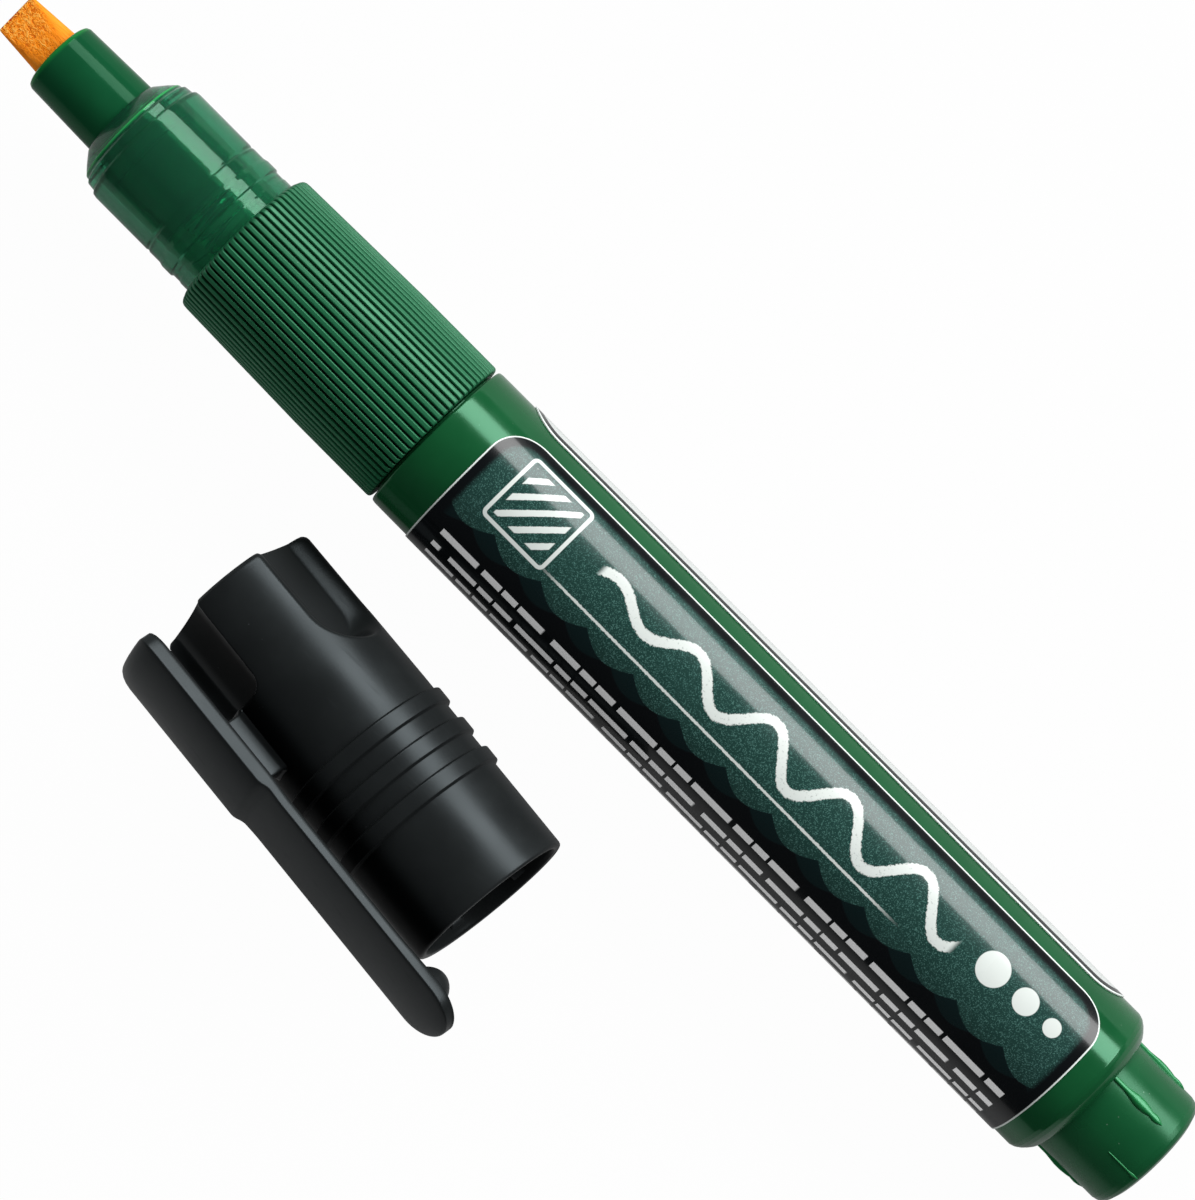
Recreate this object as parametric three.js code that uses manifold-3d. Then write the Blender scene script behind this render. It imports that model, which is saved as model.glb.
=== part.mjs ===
// Pit board marker: a pump marker lying uncapped beside its cap.
// Millimetres, +Z up, the nib points to +X. Along the marker, u runs back from the nib tip.
import * as THREE from 'three';
import Module from 'manifold-3d';
import { mergeVertices } from 'three/addons/utils/BufferGeometryUtils.js';

const wasm = await Module();
wasm.setup();

// Counts of facets round a turned piece
const sides = 40;
const holderSides = 32;
const smallSides = 24;
const degree = Math.PI / 180;

// Fits between pieces
const slideFit = 0.08;
const seatGap = 0.15;

// Nib
const nibRadius = 2.28;
const nibTipRadius = 1.95;
const nibExposed = 4.92;
const nibLength = 18.3;
const nibBevel = 6.6;
const nibTipHalf = 0.42;
const nibRoll = 6;

// Nose piece that holds the nib
const noseRadius = 3.61;
const noseFrontRadius = 3.45;
const holderFlange = 4.8;
const holderCore = 4.2;
const holderEnd = 22.5;

// Clear front housing
const housingFront = 12.35;
const housingRadius = 6.04;
const housingBore = 4.9;
const housingTail = 48.4;
const housingSleeveRadius = 6.2;
const neckBore = 5.4;

// Ribbed grip sleeve
const gripFront = 26.4;
const gripEnd = 48.6;
const gripBore = 6.35;
const ribCount = 72;
const ribDepth = 0.24;

// Barrel
const neckFront = 34.15;
const neckSealAt = 40.6;
const neckRadius = 5.3;
const collarFront = 48.7;
const barrelFront = 49.2;
const barrelFrontRadius = 7.47;
const barrelTailRadius = 7.59;
const barrelTaperFrom = 50.6;
const barrelTaperTo = 123.8;
const barrelEnd = 125.2;
const tankBore = 6.1;
const tankFront = 52.5;
const tankEnd = 112.3;
const tailBore = 6.4;

// Wrapped label
const labelFront = 53.2;
const labelEnd = 121.9;
const labelCorner = 3.5;
const labelFrom = -47.2;
const labelTo = 296.3;
const labelInside = 0.03;
const labelOutside = 0.13;

// Valve at the front of the ink tank
const valveFlangeRadius = 3.3;
const valveTipRadius = 2;
const valveHole = 1.9;
const valveFace = 30.1;
const valveTail = 31.6;
const seatFace = 30.4;
const seatEnd = 34;
const valveSpringRadius = 2.45;
const valveSpringWire = 0.18;
const valveSpringTurns = 5;

// Push rod and the guide that it passes through
const rodRadius = 1.1;
const rodFront = 29.2;
const guideFace = 112.45;
const guideBack = 114.4;
const guideBoss = 2.7;
const guideNose = guideFace - 2.65;
const guideEnd = guideBack + 2.6;
const sealFrom = guideFace + 0.65;
const sealTo = sealFrom + 1;

// Pump button
const buttonShows = 7.6;
const buttonLength = 14.6;
const buttonEnd = barrelEnd + buttonShows;
const buttonRadius = 5.86;
const buttonFlange = 6.2;
const buttonFront = buttonEnd - buttonLength;
const buttonWall = 1.2;
const buttonInside = buttonEnd - buttonWall;
const buttonSocket = buttonFront + 2.8;
const rodEnd = buttonInside - 1.35;
const buttonBore = 4.75;
const railTop = 6.19;
const railAngles = [-24, -84, 96, 156];
const pumpSpringRadius = 3.7;
const pumpSpringWire = 0.3;
const pumpSpringTurns = 9;

// Mixing ball in the ink tank
const ballRadius = 2.3;
const ballAt = 90;

// Cap: v runs from its mouth to its closed end
const capLength = 33.75;
const capMouthRadius = 7.49;
const capMidRadius = 7.55;
const capEndRadius = 7.42;
const capBore = 6.6;
const capNarrowFrom = 16.5;
const capNarrowBore = 4.45;
const ringCentres = [9.5, 12.6, 15.75];
const ringRadius = 7.93;
const ringHalf = 0.62;
const ringFoot = 0.85;
const fluteMiddle = 5.15;
const fluteEdge = 5.5;
const fluteHalf = 4.29;
const sideFluteFrom = 22.6;
const clipFluteFrom = 24.7;
const lowFlatFrom = 17.4;
const lugCount = 6;
const lugHalf = 0.75;
const lugHeight = 0.45;

// Inner cap
const innerCapFrom = 14.2;
const innerCapEnd = 31.9;
const innerCapRadius = 4.35;
const innerCapFlange = 5.4;
const innerCapBore = 3.72;
const innerCapLip = 3.65;

// Clip on the cap
const clipInside = 10.45;
const clipTipInside = 10.2;
const bumpAt = -2.6;
const bumpHalfLength = 2;
const bumpHalfWidth = 2.1;
const bumpHeight = 2.4;
const bumpSink = 0.3;
const bumpReach = 6;
const clipUpperEdge = 11.65;
const clipUpperRise = 0.5;
const clipUpperHalf = 3.6;
const clipLowerEdge = 11.25;
const clipLowerRise = 0.3;
const clipLowerHalf = 3.35;
const clipTop = 34;
const clipStepFrom = 15.9;
const clipStepTo = 18.8;
const clipTip = -6.3;
const webHalf = 0.9;
const webFrom = 18.7;
const webTo = 24.6;

// Where the loose cap lies: its mouth behind the nib tip and beside the marker's middle line
const capMouthBehind = 79.53;
const capMouthBeside = 23.74;
const capYaw = 5.09;
const capTilt = 7.8;
const capRoll = 3.3;

// Solids from rings and profiles
const cleaned = (geometry) => {
  geometry.deleteAttribute('normal');
  geometry.deleteAttribute('uv');
  const merged = mergeVertices(geometry, 1e-5);
  const source = merged.index.array;
  const kept = [];
  for (let i = 0; i < source.length; i += 3) {
    const [a, b, c] = [source[i], source[i + 1], source[i + 2]];
    if (a !== b && b !== c && c !== a) kept.push(a, b, c);
  }
  merged.setIndex(kept);
  return merged;
};

const toSolid = (geometry) => {
  const merged = cleaned(geometry);
  const mesh = new wasm.Mesh({
    numProp: 3,
    vertProperties: new Float32Array(merged.attributes.position.array),
    triVerts: new Uint32Array(merged.index.array),
  });
  return new wasm.Manifold(mesh);
};

const toGeometry = (solid) => {
  const mesh = solid.getMesh();
  const geometry = new THREE.BufferGeometry();
  geometry.setAttribute('position', new THREE.BufferAttribute(mesh.vertProperties, 3));
  geometry.setIndex(new THREE.BufferAttribute(mesh.triVerts, 1));
  return geometry;
};

const turned = (profile, count = sides) => {
  const loop = profile.map(([u, r]) => new THREE.Vector2(r, u));
  if (THREE.ShapeUtils.area(loop) < 0) loop.reverse();
  if (loop[0].x !== 0) loop.push(loop[0].clone());
  return cleaned(new THREE.LatheGeometry(loop, count).rotateZ(Math.PI / 2));
};

const turnedCap = (profile, count = sides) => turned(profile.map(([v, r]) => [-v, r]), count);

// Skins a row of equal rings; an open row gets flat ends, a closed one meets itself
const skinned = (rings, closed) => {
  const count = rings[0].length;
  const position = rings.flat().flatMap((point) => point.toArray());
  const index = [];
  const last = closed ? rings.length : rings.length - 1;
  for (let k = 0; k < last; k += 1) {
    for (let i = 0; i < count; i += 1) {
      const next = ((k + 1) % rings.length) * count;
      const [a, b] = [k * count + i, k * count + ((i + 1) % count)];
      const [c, d] = [next + i, next + ((i + 1) % count)];
      index.push(a, b, d, a, d, c);
    }
  }
  if (!closed) {
    const end = (rings.length - 1) * count;
    for (let i = 1; i < count - 1; i += 1) {
      index.push(0, i + 1, i, end, end + i, end + i + 1);
    }
  }
  const geometry = new THREE.BufferGeometry();
  geometry.setAttribute('position', new THREE.Float32BufferAttribute(position, 3));
  geometry.setIndex(index);
  const middle = new THREE.Vector3();
  const [a, b, c] = [0, 1, 2].map(() => new THREE.Vector3());
  let volume = 0;
  for (let i = 0; i < index.length; i += 3) {
    a.fromArray(position, index[i] * 3);
    b.fromArray(position, index[i + 1] * 3);
    c.fromArray(position, index[i + 2] * 3);
    volume += a.dot(middle.crossVectors(b, c));
  }
  if (volume < 0) {
    for (let i = 0; i < index.length; i += 3) [index[i], index[i + 1]] = [index[i + 1], index[i]];
    geometry.setIndex(index);
  }
  return geometry;
};

// A point at angle from the top towards +Y, out from the middle line
const around = (x, angle, radius) => (
  new THREE.Vector3(x, radius * Math.sin(angle * degree), radius * Math.cos(angle * degree))
);

// A bar along X whose sections are [x, half width, inner and outer distance from the middle line]
const bar = (sections, angle) => {
  const rings = sections.map(([x, half, inner, outer]) => [
    new THREE.Vector3(x, -half, inner),
    new THREE.Vector3(x, half, inner),
    new THREE.Vector3(x, half, outer),
    new THREE.Vector3(x, -half, outer),
  ]);
  return skinned(rings, false).rotateX(-angle * degree);
};

const spring = (from, to, radius, wire, turns, perTurn, facets) => {
  const rings = [];
  const steps = turns * perTurn;
  for (let k = 0; k <= steps; k += 1) {
    const angle = (360 * turns * k) / steps;
    const x = -(from + ((to - from) * k) / steps);
    const ring = [];
    for (let i = 0; i < facets; i += 1) {
      const turn = (2 * Math.PI * i) / facets;
      ring.push(around(x + wire * Math.sin(turn), angle, radius + wire * Math.cos(turn)));
    }
    rings.push(ring);
  }
  return skinned(rings, false);
};

const sealRing = (at, radius, wire, count) => (
  cleaned(new THREE.TorusGeometry(radius, wire, 6, count).rotateY(Math.PI / 2).translate(-at, 0, 0))
);

const group = new THREE.Group();
group.name = 'pit_board_marker';

const add = (name, geometry, colour, roughness, metalness = 0) => {
  const material = new THREE.MeshStandardMaterial({ color: colour, roughness, metalness });
  const mesh = new THREE.Mesh(geometry, material);
  mesh.name = name;
  group.add(mesh);
};

// Nib: a fibre rod with two flats that meet in a chisel edge
const nibRod = turned([
  [0, 0], [0, nibTipRadius], [nibExposed, nibRadius], [nibLength, nibRadius], [nibLength, 0],
], holderSides);
const nibHalf = (u) => nibTipHalf + ((nibRadius - nibTipHalf) * u) / nibBevel;
const nibWedge = skinned([-0.2, nibLength + 1].map((u) => [
  new THREE.Vector3(-u, -5, -nibHalf(u)),
  new THREE.Vector3(-u, 5, -nibHalf(u)),
  new THREE.Vector3(-u, 5, nibHalf(u)),
  new THREE.Vector3(-u, -5, nibHalf(u)),
]), false).rotateX(-nibRoll * degree);
const nibSolid = toSolid(nibRod).intersect(toSolid(nibWedge));
add('nib', toGeometry(nibSolid), 0xf09a2a, 0.85);

// Soft pad that carries ink from the valve to the nib
const padFront = nibLength + 0.1;
const padEnd = holderEnd - 0.2;
add('feed_pad', turned([
  [padFront, 0], [padFront, nibRadius], [padEnd, nibRadius], [padEnd, 0],
], smallSides), 0xe8c9a0, 0.9);

// Nose piece with its bore, flange and rear ring
const holderBore = nibRadius + slideFit;
add('nib_holder', turned([
  [nibExposed, holderBore], [nibExposed, 3.1], [5.04, 3.33], [5.32, noseFrontRadius],
  [housingFront, noseRadius], [14.9, noseRadius], [14.9, holderFlange], [16.3, holderFlange],
  [16.3, holderCore], [21.3, holderCore], [21.3, holderFlange], [holderEnd, holderFlange],
  [holderEnd, holderBore],
], holderSides), 0x1b5f3a, 0.35);

// Clear front housing with its shoulder, snap bead and bore
add('front_housing', turned([
  [housingFront, 3.85], [housingFront + 0.8, 4.8], [housingFront + 1.37, 5.38],
  [housingFront + 1.7, 5.43], [housingFront + 2.45, 5.81], [housingFront + 3.25, housingRadius],
  [housingFront + 10.55, housingRadius], [housingFront + 11.45, 6.15], [housingFront + 11.95, 6.15],
  [housingFront + 12.35, 6], [housingFront + 12.95, 6], [housingFront + 13.25, 6.06],
  [housingFront + 14.65, 6.06], [housingFront + 15.05, housingSleeveRadius],
  [housingTail, housingSleeveRadius], [housingTail, neckBore], [neckFront - 0.05, neckBore],
  [neckFront - 0.05, housingBore], [housingFront + 2.5, housingBore], [housingFront + 2.5, noseRadius + 0.11],
  [housingFront, noseRadius + 0.11],
]), 0x1c5a3c, 0.2);

// Grip sleeve: straight ribs round a plain bore
const ribPitch = 360 / ribCount;
const ribAngles = [];
for (let i = 0; i < ribCount; i += 1) {
  ribAngles.push([i * ribPitch - 1.5, 0], [i * ribPitch + 1.5, 0]);
  ribAngles.push([i * ribPitch + 1.95, 1], [(i + 1) * ribPitch - 1.95, 1]);
}
const gripRing = (u, radius, depth) => (
  ribAngles.map(([angle, low]) => around(-u, angle, radius - low * depth))
);
add('grip_sleeve', skinned([
  gripRing(gripFront, gripBore, 0), gripRing(gripFront, 6.7, 0.06),
  gripRing(26.75, 7.16, ribDepth), gripRing(40.3, 7.44, ribDepth),
  gripRing(gripEnd, 7.44, ribDepth), gripRing(gripEnd, gripBore, 0),
], true), 0x1d6a42, 0.6);

// Barrel: neck, collar, long ink tank and the open tail that the button works in
add('barrel', turned([
  [neckFront, 5.15], [neckFront + 0.15, neckRadius], [neckSealAt - 0.35, neckRadius],
  [neckSealAt - 0.35, 4.8], [neckSealAt + 0.35, 4.8], [neckSealAt + 0.35, neckRadius],
  [collarFront, neckRadius], [collarFront, 7.1], [barrelFront, 7.1], [barrelFront, 7.28],
  [barrelFront + 0.2, 7.4], [barrelFront + 0.8, 7.46], [barrelTaperFrom, barrelFrontRadius],
  [barrelTaperTo, barrelTailRadius], [barrelEnd - 1, 7.46], [barrelEnd - 0.6, 7.18],
  [barrelEnd - 0.25, 6.82], [barrelEnd, 6.5], [barrelEnd, tailBore], [tankEnd, tailBore],
  [tankEnd, tankBore], [tankFront, tankBore], [tankFront - 3, 4.5], [neckFront, 4.5],
]), 0x22783f, 0.35);

// Rubber ring that seals the barrel's neck in the housing
add('housing_seal', sealRing(neckSealAt, 5.12, 0.24, sides), 0x1a1a1a, 0.8);

// Label: a thin wrap with rounded corners that leaves a narrow strip of barrel bare
const barrelRadius = (u) => {
  const share = (u - barrelTaperFrom) / (barrelTaperTo - barrelTaperFrom);
  return barrelFrontRadius + (barrelTailRadius - barrelFrontRadius) * share;
};
const labelSpan = labelTo - labelFrom;
const labelAngles = [];
const cornerSteps = 6;
const cornerSpan = labelCorner / barrelFrontRadius / degree;
for (let i = 0; i <= cornerSteps; i += 1) {
  labelAngles.push(cornerSpan * (1 - Math.cos((i / cornerSteps) * Math.PI / 2)));
}
const plainSteps = 44;
for (let i = 1; i < plainSteps; i += 1) {
  labelAngles.push(cornerSpan + ((labelSpan - 2 * cornerSpan) * i) / plainSteps);
}
for (let i = cornerSteps; i >= 0; i -= 1) {
  labelAngles.push(labelSpan - cornerSpan * (1 - Math.cos((i / cornerSteps) * Math.PI / 2)));
}
add('label', skinned(labelAngles.map((at) => {
  const edge = Math.min(at, labelSpan - at) * degree * barrelFrontRadius;
  const short = Math.max(labelCorner - edge, 0);
  const inset = labelCorner - Math.sqrt(labelCorner ** 2 - short ** 2);
  const angle = labelFrom + at;
  const [from, to] = [labelFront + inset, labelEnd - inset];
  return [
    around(-from, angle, barrelRadius(from) + labelInside),
    around(-from, angle, barrelRadius(from) + labelOutside),
    around(-to, angle, barrelRadius(to) + labelOutside),
    around(-to, angle, barrelRadius(to) + labelInside),
  ];
}), false), 0x1b3c36, 0.4);

// Valve: a seat pressed into the housing, a plug that opens forwards and its closing spring
const coneSlope = (valveFlangeRadius - valveTipRadius) / (valveTail - valveFace);
const seatRadiusAt = (u) => valveFlangeRadius - (u - valveFace - 0.25) * coneSlope;
const seatHoleFrom = valveFace + 0.25 + (valveFlangeRadius - valveHole) / coneSlope;
add('valve_seat', turned([
  [seatFace, seatRadiusAt(seatFace)], [seatFace, housingBore - slideFit],
  [seatEnd, housingBore - slideFit], [seatEnd, valveHole], [seatHoleFrom, valveHole],
], smallSides), 0xd9d9d2, 0.5);
const rodHole = rodRadius + slideFit;
add('valve_plug', turned([
  [27.4, 0], [27.4, 1.9], [27.6, 2.1], [28.9, 2.1], [28.9, valveFlangeRadius],
  [valveFace, valveFlangeRadius], [valveTail, valveTipRadius], [valveTail, rodHole],
  [rodFront - seatGap, rodHole], [rodFront - seatGap, 0],
], smallSides), 0xe6e3da, 0.5);
const washer = (u, radius) => [u + (valveFlangeRadius - radius) / coneSlope, radius];
add('valve_seal', turned([
  washer(valveFace + 0.08, 3.15), washer(valveFace + 0.2, 3.15), washer(valveFace + 0.2, 2.5),
  washer(valveFace + 0.08, 2.5),
], smallSides), 0x1a1a1a, 0.8);
add('valve_spring', spring(
  holderEnd + 0.1 + valveSpringWire, 28.8 - valveSpringWire,
  valveSpringRadius, valveSpringWire, valveSpringTurns, 12, 5,
), 0xb8bcc0, 0.3, 1);

// Push rod from the valve plug through the tank to the button
add('push_rod', turned([
  [rodFront, 0], [rodFront, 0.9], [rodFront + 0.25, rodRadius], [rodEnd - 0.25, rodRadius],
  [rodEnd, 0.9], [rodEnd, 0],
], smallSides), 0xe6e3da, 0.5);

// Guide that closes the tank's tail, with the rod's seal in its groove
add('rod_guide', turned([
  [guideNose, rodHole + 0.02], [guideNose, 2.9], [guideFace, 2.9], [guideFace, tailBore - slideFit],
  [guideBack, tailBore - slideFit], [guideBack, guideBoss], [guideEnd, guideBoss],
  [guideEnd, rodHole + 0.02], [sealTo, rodHole + 0.02], [sealTo, 2], [sealFrom, 2],
  [sealFrom, rodHole + 0.02],
], smallSides), 0x2a6b45, 0.5);
add('rod_seal', sealRing((sealFrom + sealTo) / 2, 1.58, 0.34, smallSides), 0x1a1a1a, 0.8);

// Steel ball that stirs the ink, lying on the tank's floor
const ballDrop = tankBore - ballRadius - 0.05;
add('mixing_ball', cleaned(
  new THREE.SphereGeometry(ballRadius, 18, 10).rotateX(Math.PI / 2).translate(-ballAt, 0, -ballDrop),
), 0xb0b4b8, 0.2, 1);

// Pump button: a cup with a guide flange, rails on its side and a socket for the rod
const buttonCup = turned([
  [buttonEnd, 0], [buttonEnd, 4.95], [buttonEnd - 0.2, 5.38], [buttonEnd - 0.5, 5.68],
  [buttonEnd - 0.9, 5.82], [buttonFront + 1.7, buttonRadius], [buttonFront + 1.4, buttonFlange],
  [buttonFront + 0.2, buttonFlange], [buttonFront, 5.95], [buttonFront, buttonBore],
  [buttonInside, buttonBore], [buttonInside, 2.2], [buttonSocket, 2.2], [buttonSocket, rodHole],
  [rodEnd + seatGap, rodHole], [rodEnd + seatGap, 0],
]);
const rail = [
  [12.8, 0.28, 5.5, railTop], [5.8, 0.28, 5.5, railTop], [5.2, 0.42, 5.5, 6.15],
  [3.7, 0.42, 5.5, 6.02], [2.8, 0.38, 5.5, 5.98], [2.3, 0.16, 5.5, 5.92],
].map(([back, ...size]) => [back - buttonEnd, ...size]);
let buttonSolid = toSolid(buttonCup);
for (const angle of railAngles) buttonSolid = buttonSolid.add(toSolid(bar(rail, angle)));
add('pump_button', toGeometry(buttonSolid), 0x24804a, 0.35);
add('pump_spring', spring(
  guideBack + 0.1 + pumpSpringWire, buttonInside - 0.1 - pumpSpringWire,
  pumpSpringRadius, pumpSpringWire, pumpSpringTurns, 12, 5,
), 0xb8bcc0, 0.3, 1);

// Cap shell: a turned cup with three raised rings, open at its mouth
const shellProfile = [
  [capLength, 0], [capLength, 7.05], [33.55, 7.3], [33.15, capEndRadius], [18, capMidRadius],
];
for (const centre of [...ringCentres].reverse()) {
  shellProfile.push(
    [centre + ringFoot, capMidRadius], [centre + ringHalf, ringRadius],
    [centre - ringHalf, ringRadius], [centre - ringFoot, capMidRadius - 0.02],
  );
}
shellProfile.push(
  [0.25, capMouthRadius], [0, 7.25], [0, capBore + 0.15], [0.25, capBore],
  [capNarrowFrom, capBore - 0.05], [capNarrowFrom, capNarrowBore],
  [32.1, capNarrowBore], [32.1, 0],
);
let shell = toSolid(turnedCap(shellProfile));

// Cutter for a flute: a plate outline along the cap, sunk to a hollow floor
const outlineCutter = (outline, angle) => {
  const shape = new THREE.Shape(outline.map(([v, p]) => new THREE.Vector2(v, p)));
  const plate = new THREE.ExtrudeGeometry(shape, { depth: 10, bevelEnabled: false });
  return toSolid(plate.translate(0, 0, 4).rotateX(-angle * degree));
};
const cornered = (from, half, corner) => {
  const outline = [[40, half], [40, -half]];
  for (let i = 0; i <= 10; i += 1) {
    const turn = (i / 10) * Math.PI / 2;
    outline.push([from + corner * (1 - Math.sin(turn)), -half + corner * (1 - Math.cos(turn))]);
  }
  for (let i = 10; i >= 0; i -= 1) {
    const turn = (i / 10) * Math.PI / 2;
    outline.push([from + corner * (1 - Math.sin(turn)), half - corner * (1 - Math.cos(turn))]);
  }
  return outline.filter(([v, p], i) => i === 0 || v !== outline[i - 1][0] || p !== outline[i - 1][1]);
};
const floorRise = fluteEdge - fluteMiddle;
const floorRadius = (fluteHalf ** 2 + floorRise ** 2) / (2 * floorRise);
const floorCutter = (angle) => {
  const drum = new THREE.CylinderGeometry(floorRadius, floorRadius, 30, 240);
  drum.rotateZ(Math.PI / 2).translate(30, 0, fluteMiddle + floorRadius);
  return toSolid(drum.rotateX(-angle * degree));
};
const clipAngle = 60;
const sideFlute = outlineCutter(cornered(sideFluteFrom, fluteHalf, fluteHalf - 0.01), -clipAngle);
const clipFlute = outlineCutter(cornered(clipFluteFrom, fluteHalf, 1.4), clipAngle);
shell = shell.subtract(sideFlute.intersect(floorCutter(-clipAngle)));
shell = shell.subtract(clipFlute.intersect(floorCutter(clipAngle)));

// The underside is a plain flat, as deep as the cap needs to lie on its far edge and the last ring
const restFrom = ringCentres[2] + ringHalf;
const lowFlat = ringRadius - (capLength - restFrom) * Math.tan(capTilt * degree);
const flatCutter = new THREE.BoxGeometry(20, 20, 10);
flatCutter.translate(lowFlatFrom + 10, 0, lowFlat + 5).rotateX(Math.PI - capRoll * degree);
shell = shell.subtract(toSolid(flatCutter));

// Small lugs inside the mouth that snap behind the housing's bead
for (let i = 0; i < lugCount; i += 1) {
  const lug = [
    [0.7, lugHalf, capBore - 0.05, capBore + 0.3], [1.3, lugHalf, capBore - lugHeight, capBore + 0.3],
    [7, lugHalf, capBore - lugHeight, capBore + 0.3], [8, lugHalf, capBore - 0.05, capBore + 0.3],
  ];
  shell = shell.add(toSolid(bar(lug, 30 + (360 / lugCount) * i)));
}

// Clip: a long plate, thick and arched at its upper part, with a step, a rounded tip and a bump
const clipRing = (v, half, edge, rise, inside = clipInside) => {
  const ring = [[-half, inside], [half, inside]];
  const arcSteps = 8;
  for (let i = 0; i <= arcSteps; i += 1) {
    const at = 1 - (2 * i) / arcSteps;
    ring.push([half * at, edge + rise * (1 - at * at)]);
  }
  return ring.map(([p, m]) => new THREE.Vector3(v, -p, m));
};
const clipRings = [];
const tipSteps = 9;
for (let i = 0; i <= tipSteps; i += 1) {
  const turn = (i / tipSteps) * Math.PI / 2;
  const half = Math.max(clipLowerHalf * Math.sin(turn), 0.5);
  const v = clipTip + clipLowerHalf * (1 - Math.cos(turn));
  const edge = clipLowerEdge - 0.25 * (1 - Math.sin(turn));
  clipRings.push(clipRing(v, half, edge, clipLowerRise, clipTipInside));
}
clipRings.push(
  clipRing(2, clipLowerHalf, clipLowerEdge, clipLowerRise),
  clipRing(clipStepFrom, clipLowerHalf, clipLowerEdge, clipLowerRise),
  clipRing((clipStepFrom + clipStepTo) / 2, 3.46, 11.45, 0.4),
  clipRing(clipStepTo, clipUpperHalf, clipUpperEdge, clipUpperRise),
  clipRing(32.4, clipUpperHalf, clipUpperEdge, clipUpperRise),
  clipRing(33.1, 3.4, 11.6, 0.45), clipRing(33.7, 2.9, 11.45, 0.35), clipRing(clipTop, 2, 11.2, 0.2),
);
shell = shell.add(toSolid(skinned(clipRings, false).rotateX(-clipAngle * degree)));
const bumpDome = new THREE.SphereGeometry(1, 20, 12).scale(bumpHalfLength, bumpHalfWidth, bumpHeight);
const bumpBlock = new THREE.BoxGeometry(10, 10, bumpReach).translate(0, 0, bumpSink - bumpReach / 2);
const bump = toSolid(bumpDome.translate(bumpAt, 0, clipTipInside));
const bumpLimit = toSolid(bumpBlock.translate(bumpAt, 0, clipTipInside));
shell = shell.add(bump.intersect(bumpLimit).rotate([-clipAngle, 0, 0]));

// Web that joins the clip to the shell
shell = shell.add(toSolid(bar([
  [webFrom, webHalf, 7, clipInside + 0.3], [webFrom + 0.2, webHalf + 0.12, 7, clipInside + 0.3],
  [webTo - 0.2, webHalf + 0.12, 7, clipInside + 0.3], [webTo, webHalf, 7, clipInside + 0.3],
], clipAngle)));

// Inner cap that closes round the nose
const innerCap = turnedCap([
  [innerCapEnd, 0], [innerCapEnd, innerCapRadius], [capNarrowFrom - 0.15, innerCapRadius],
  [capNarrowFrom - 0.15, innerCapFlange], [capNarrowFrom - 0.7, innerCapFlange],
  [capNarrowFrom - 0.7, innerCapRadius], [innerCapFrom + 0.4, innerCapRadius],
  [innerCapFrom, innerCapRadius - 0.2], [innerCapFrom, innerCapBore + 0.06],
  [innerCapFrom + 0.5, innerCapBore], [innerCapFrom + 0.9, innerCapLip],
  [innerCapFrom + 1.3, innerCapBore], [innerCapEnd - 0.9, innerCapBore], [innerCapEnd - 0.9, 0],
], holderSides);

// Laying the cap down beside the marker
const laid = (geometry) => {
  geometry.rotateX(capRoll * degree);
  geometry.rotateY(capTilt * degree);
  geometry.rotateZ(-capYaw * degree);
  return geometry.translate(-capMouthBehind, capMouthBeside, 0);
};
const shellGeometry = laid(toGeometry(shell));
shellGeometry.computeBoundingBox();
const markerLow = -(barrelRadius(labelEnd) + labelOutside);
const capLift = markerLow - shellGeometry.boundingBox.min.z;
add('cap_shell', shellGeometry.translate(0, 0, capLift), 0x1c1d1e, 0.45);
add('inner_cap', laid(innerCap).translate(0, 0, capLift), 0xd8d8d0, 0.5);

// Origin under the middle of everything
const box = new THREE.Box3().setFromObject(group);
const middle = box.getCenter(new THREE.Vector3());
for (const mesh of group.children) mesh.geometry.translate(-middle.x, -middle.y, -box.min.z);

export default group;
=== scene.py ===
import math

import bmesh
import bpy
from mathutils import Matrix, Vector


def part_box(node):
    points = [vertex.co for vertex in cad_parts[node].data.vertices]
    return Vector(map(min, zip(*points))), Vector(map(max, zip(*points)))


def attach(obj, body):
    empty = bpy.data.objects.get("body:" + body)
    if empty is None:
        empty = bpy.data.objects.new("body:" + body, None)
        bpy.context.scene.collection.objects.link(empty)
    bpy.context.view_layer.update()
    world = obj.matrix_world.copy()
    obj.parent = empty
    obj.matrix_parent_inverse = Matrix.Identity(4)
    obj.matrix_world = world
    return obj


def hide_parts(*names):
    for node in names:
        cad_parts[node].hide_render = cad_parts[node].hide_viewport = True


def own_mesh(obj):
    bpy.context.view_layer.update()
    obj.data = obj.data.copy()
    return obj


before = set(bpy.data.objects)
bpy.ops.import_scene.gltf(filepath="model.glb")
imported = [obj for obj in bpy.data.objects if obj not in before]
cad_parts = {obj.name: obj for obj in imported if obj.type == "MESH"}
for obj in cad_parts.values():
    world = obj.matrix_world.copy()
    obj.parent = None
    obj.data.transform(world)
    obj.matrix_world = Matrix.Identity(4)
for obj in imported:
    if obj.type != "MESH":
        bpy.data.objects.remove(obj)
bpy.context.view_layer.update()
print("frame loaded:", len(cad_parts), "pieces")

mm = 0.001
nibLow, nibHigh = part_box("nib")
# Middle of the nib's tip: u runs back from it along the marker, in millimetres
tip = Vector((nibHigh.x, (nibLow.y + nibHigh.y) / 2, (nibLow.z + nibHigh.z) / 2))
capLie = {"yaw": 5.09, "tilt": 7.8, "roll": 3.3, "innerCapEnd": 31.9}


def onMarker(u, angle, radius):
    # angle in degrees from straight up, towards the cap
    turn = math.radians(angle)
    side, up = radius * math.sin(turn), radius * math.cos(turn)
    return tip + Vector((-u, side, up)) * mm


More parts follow.
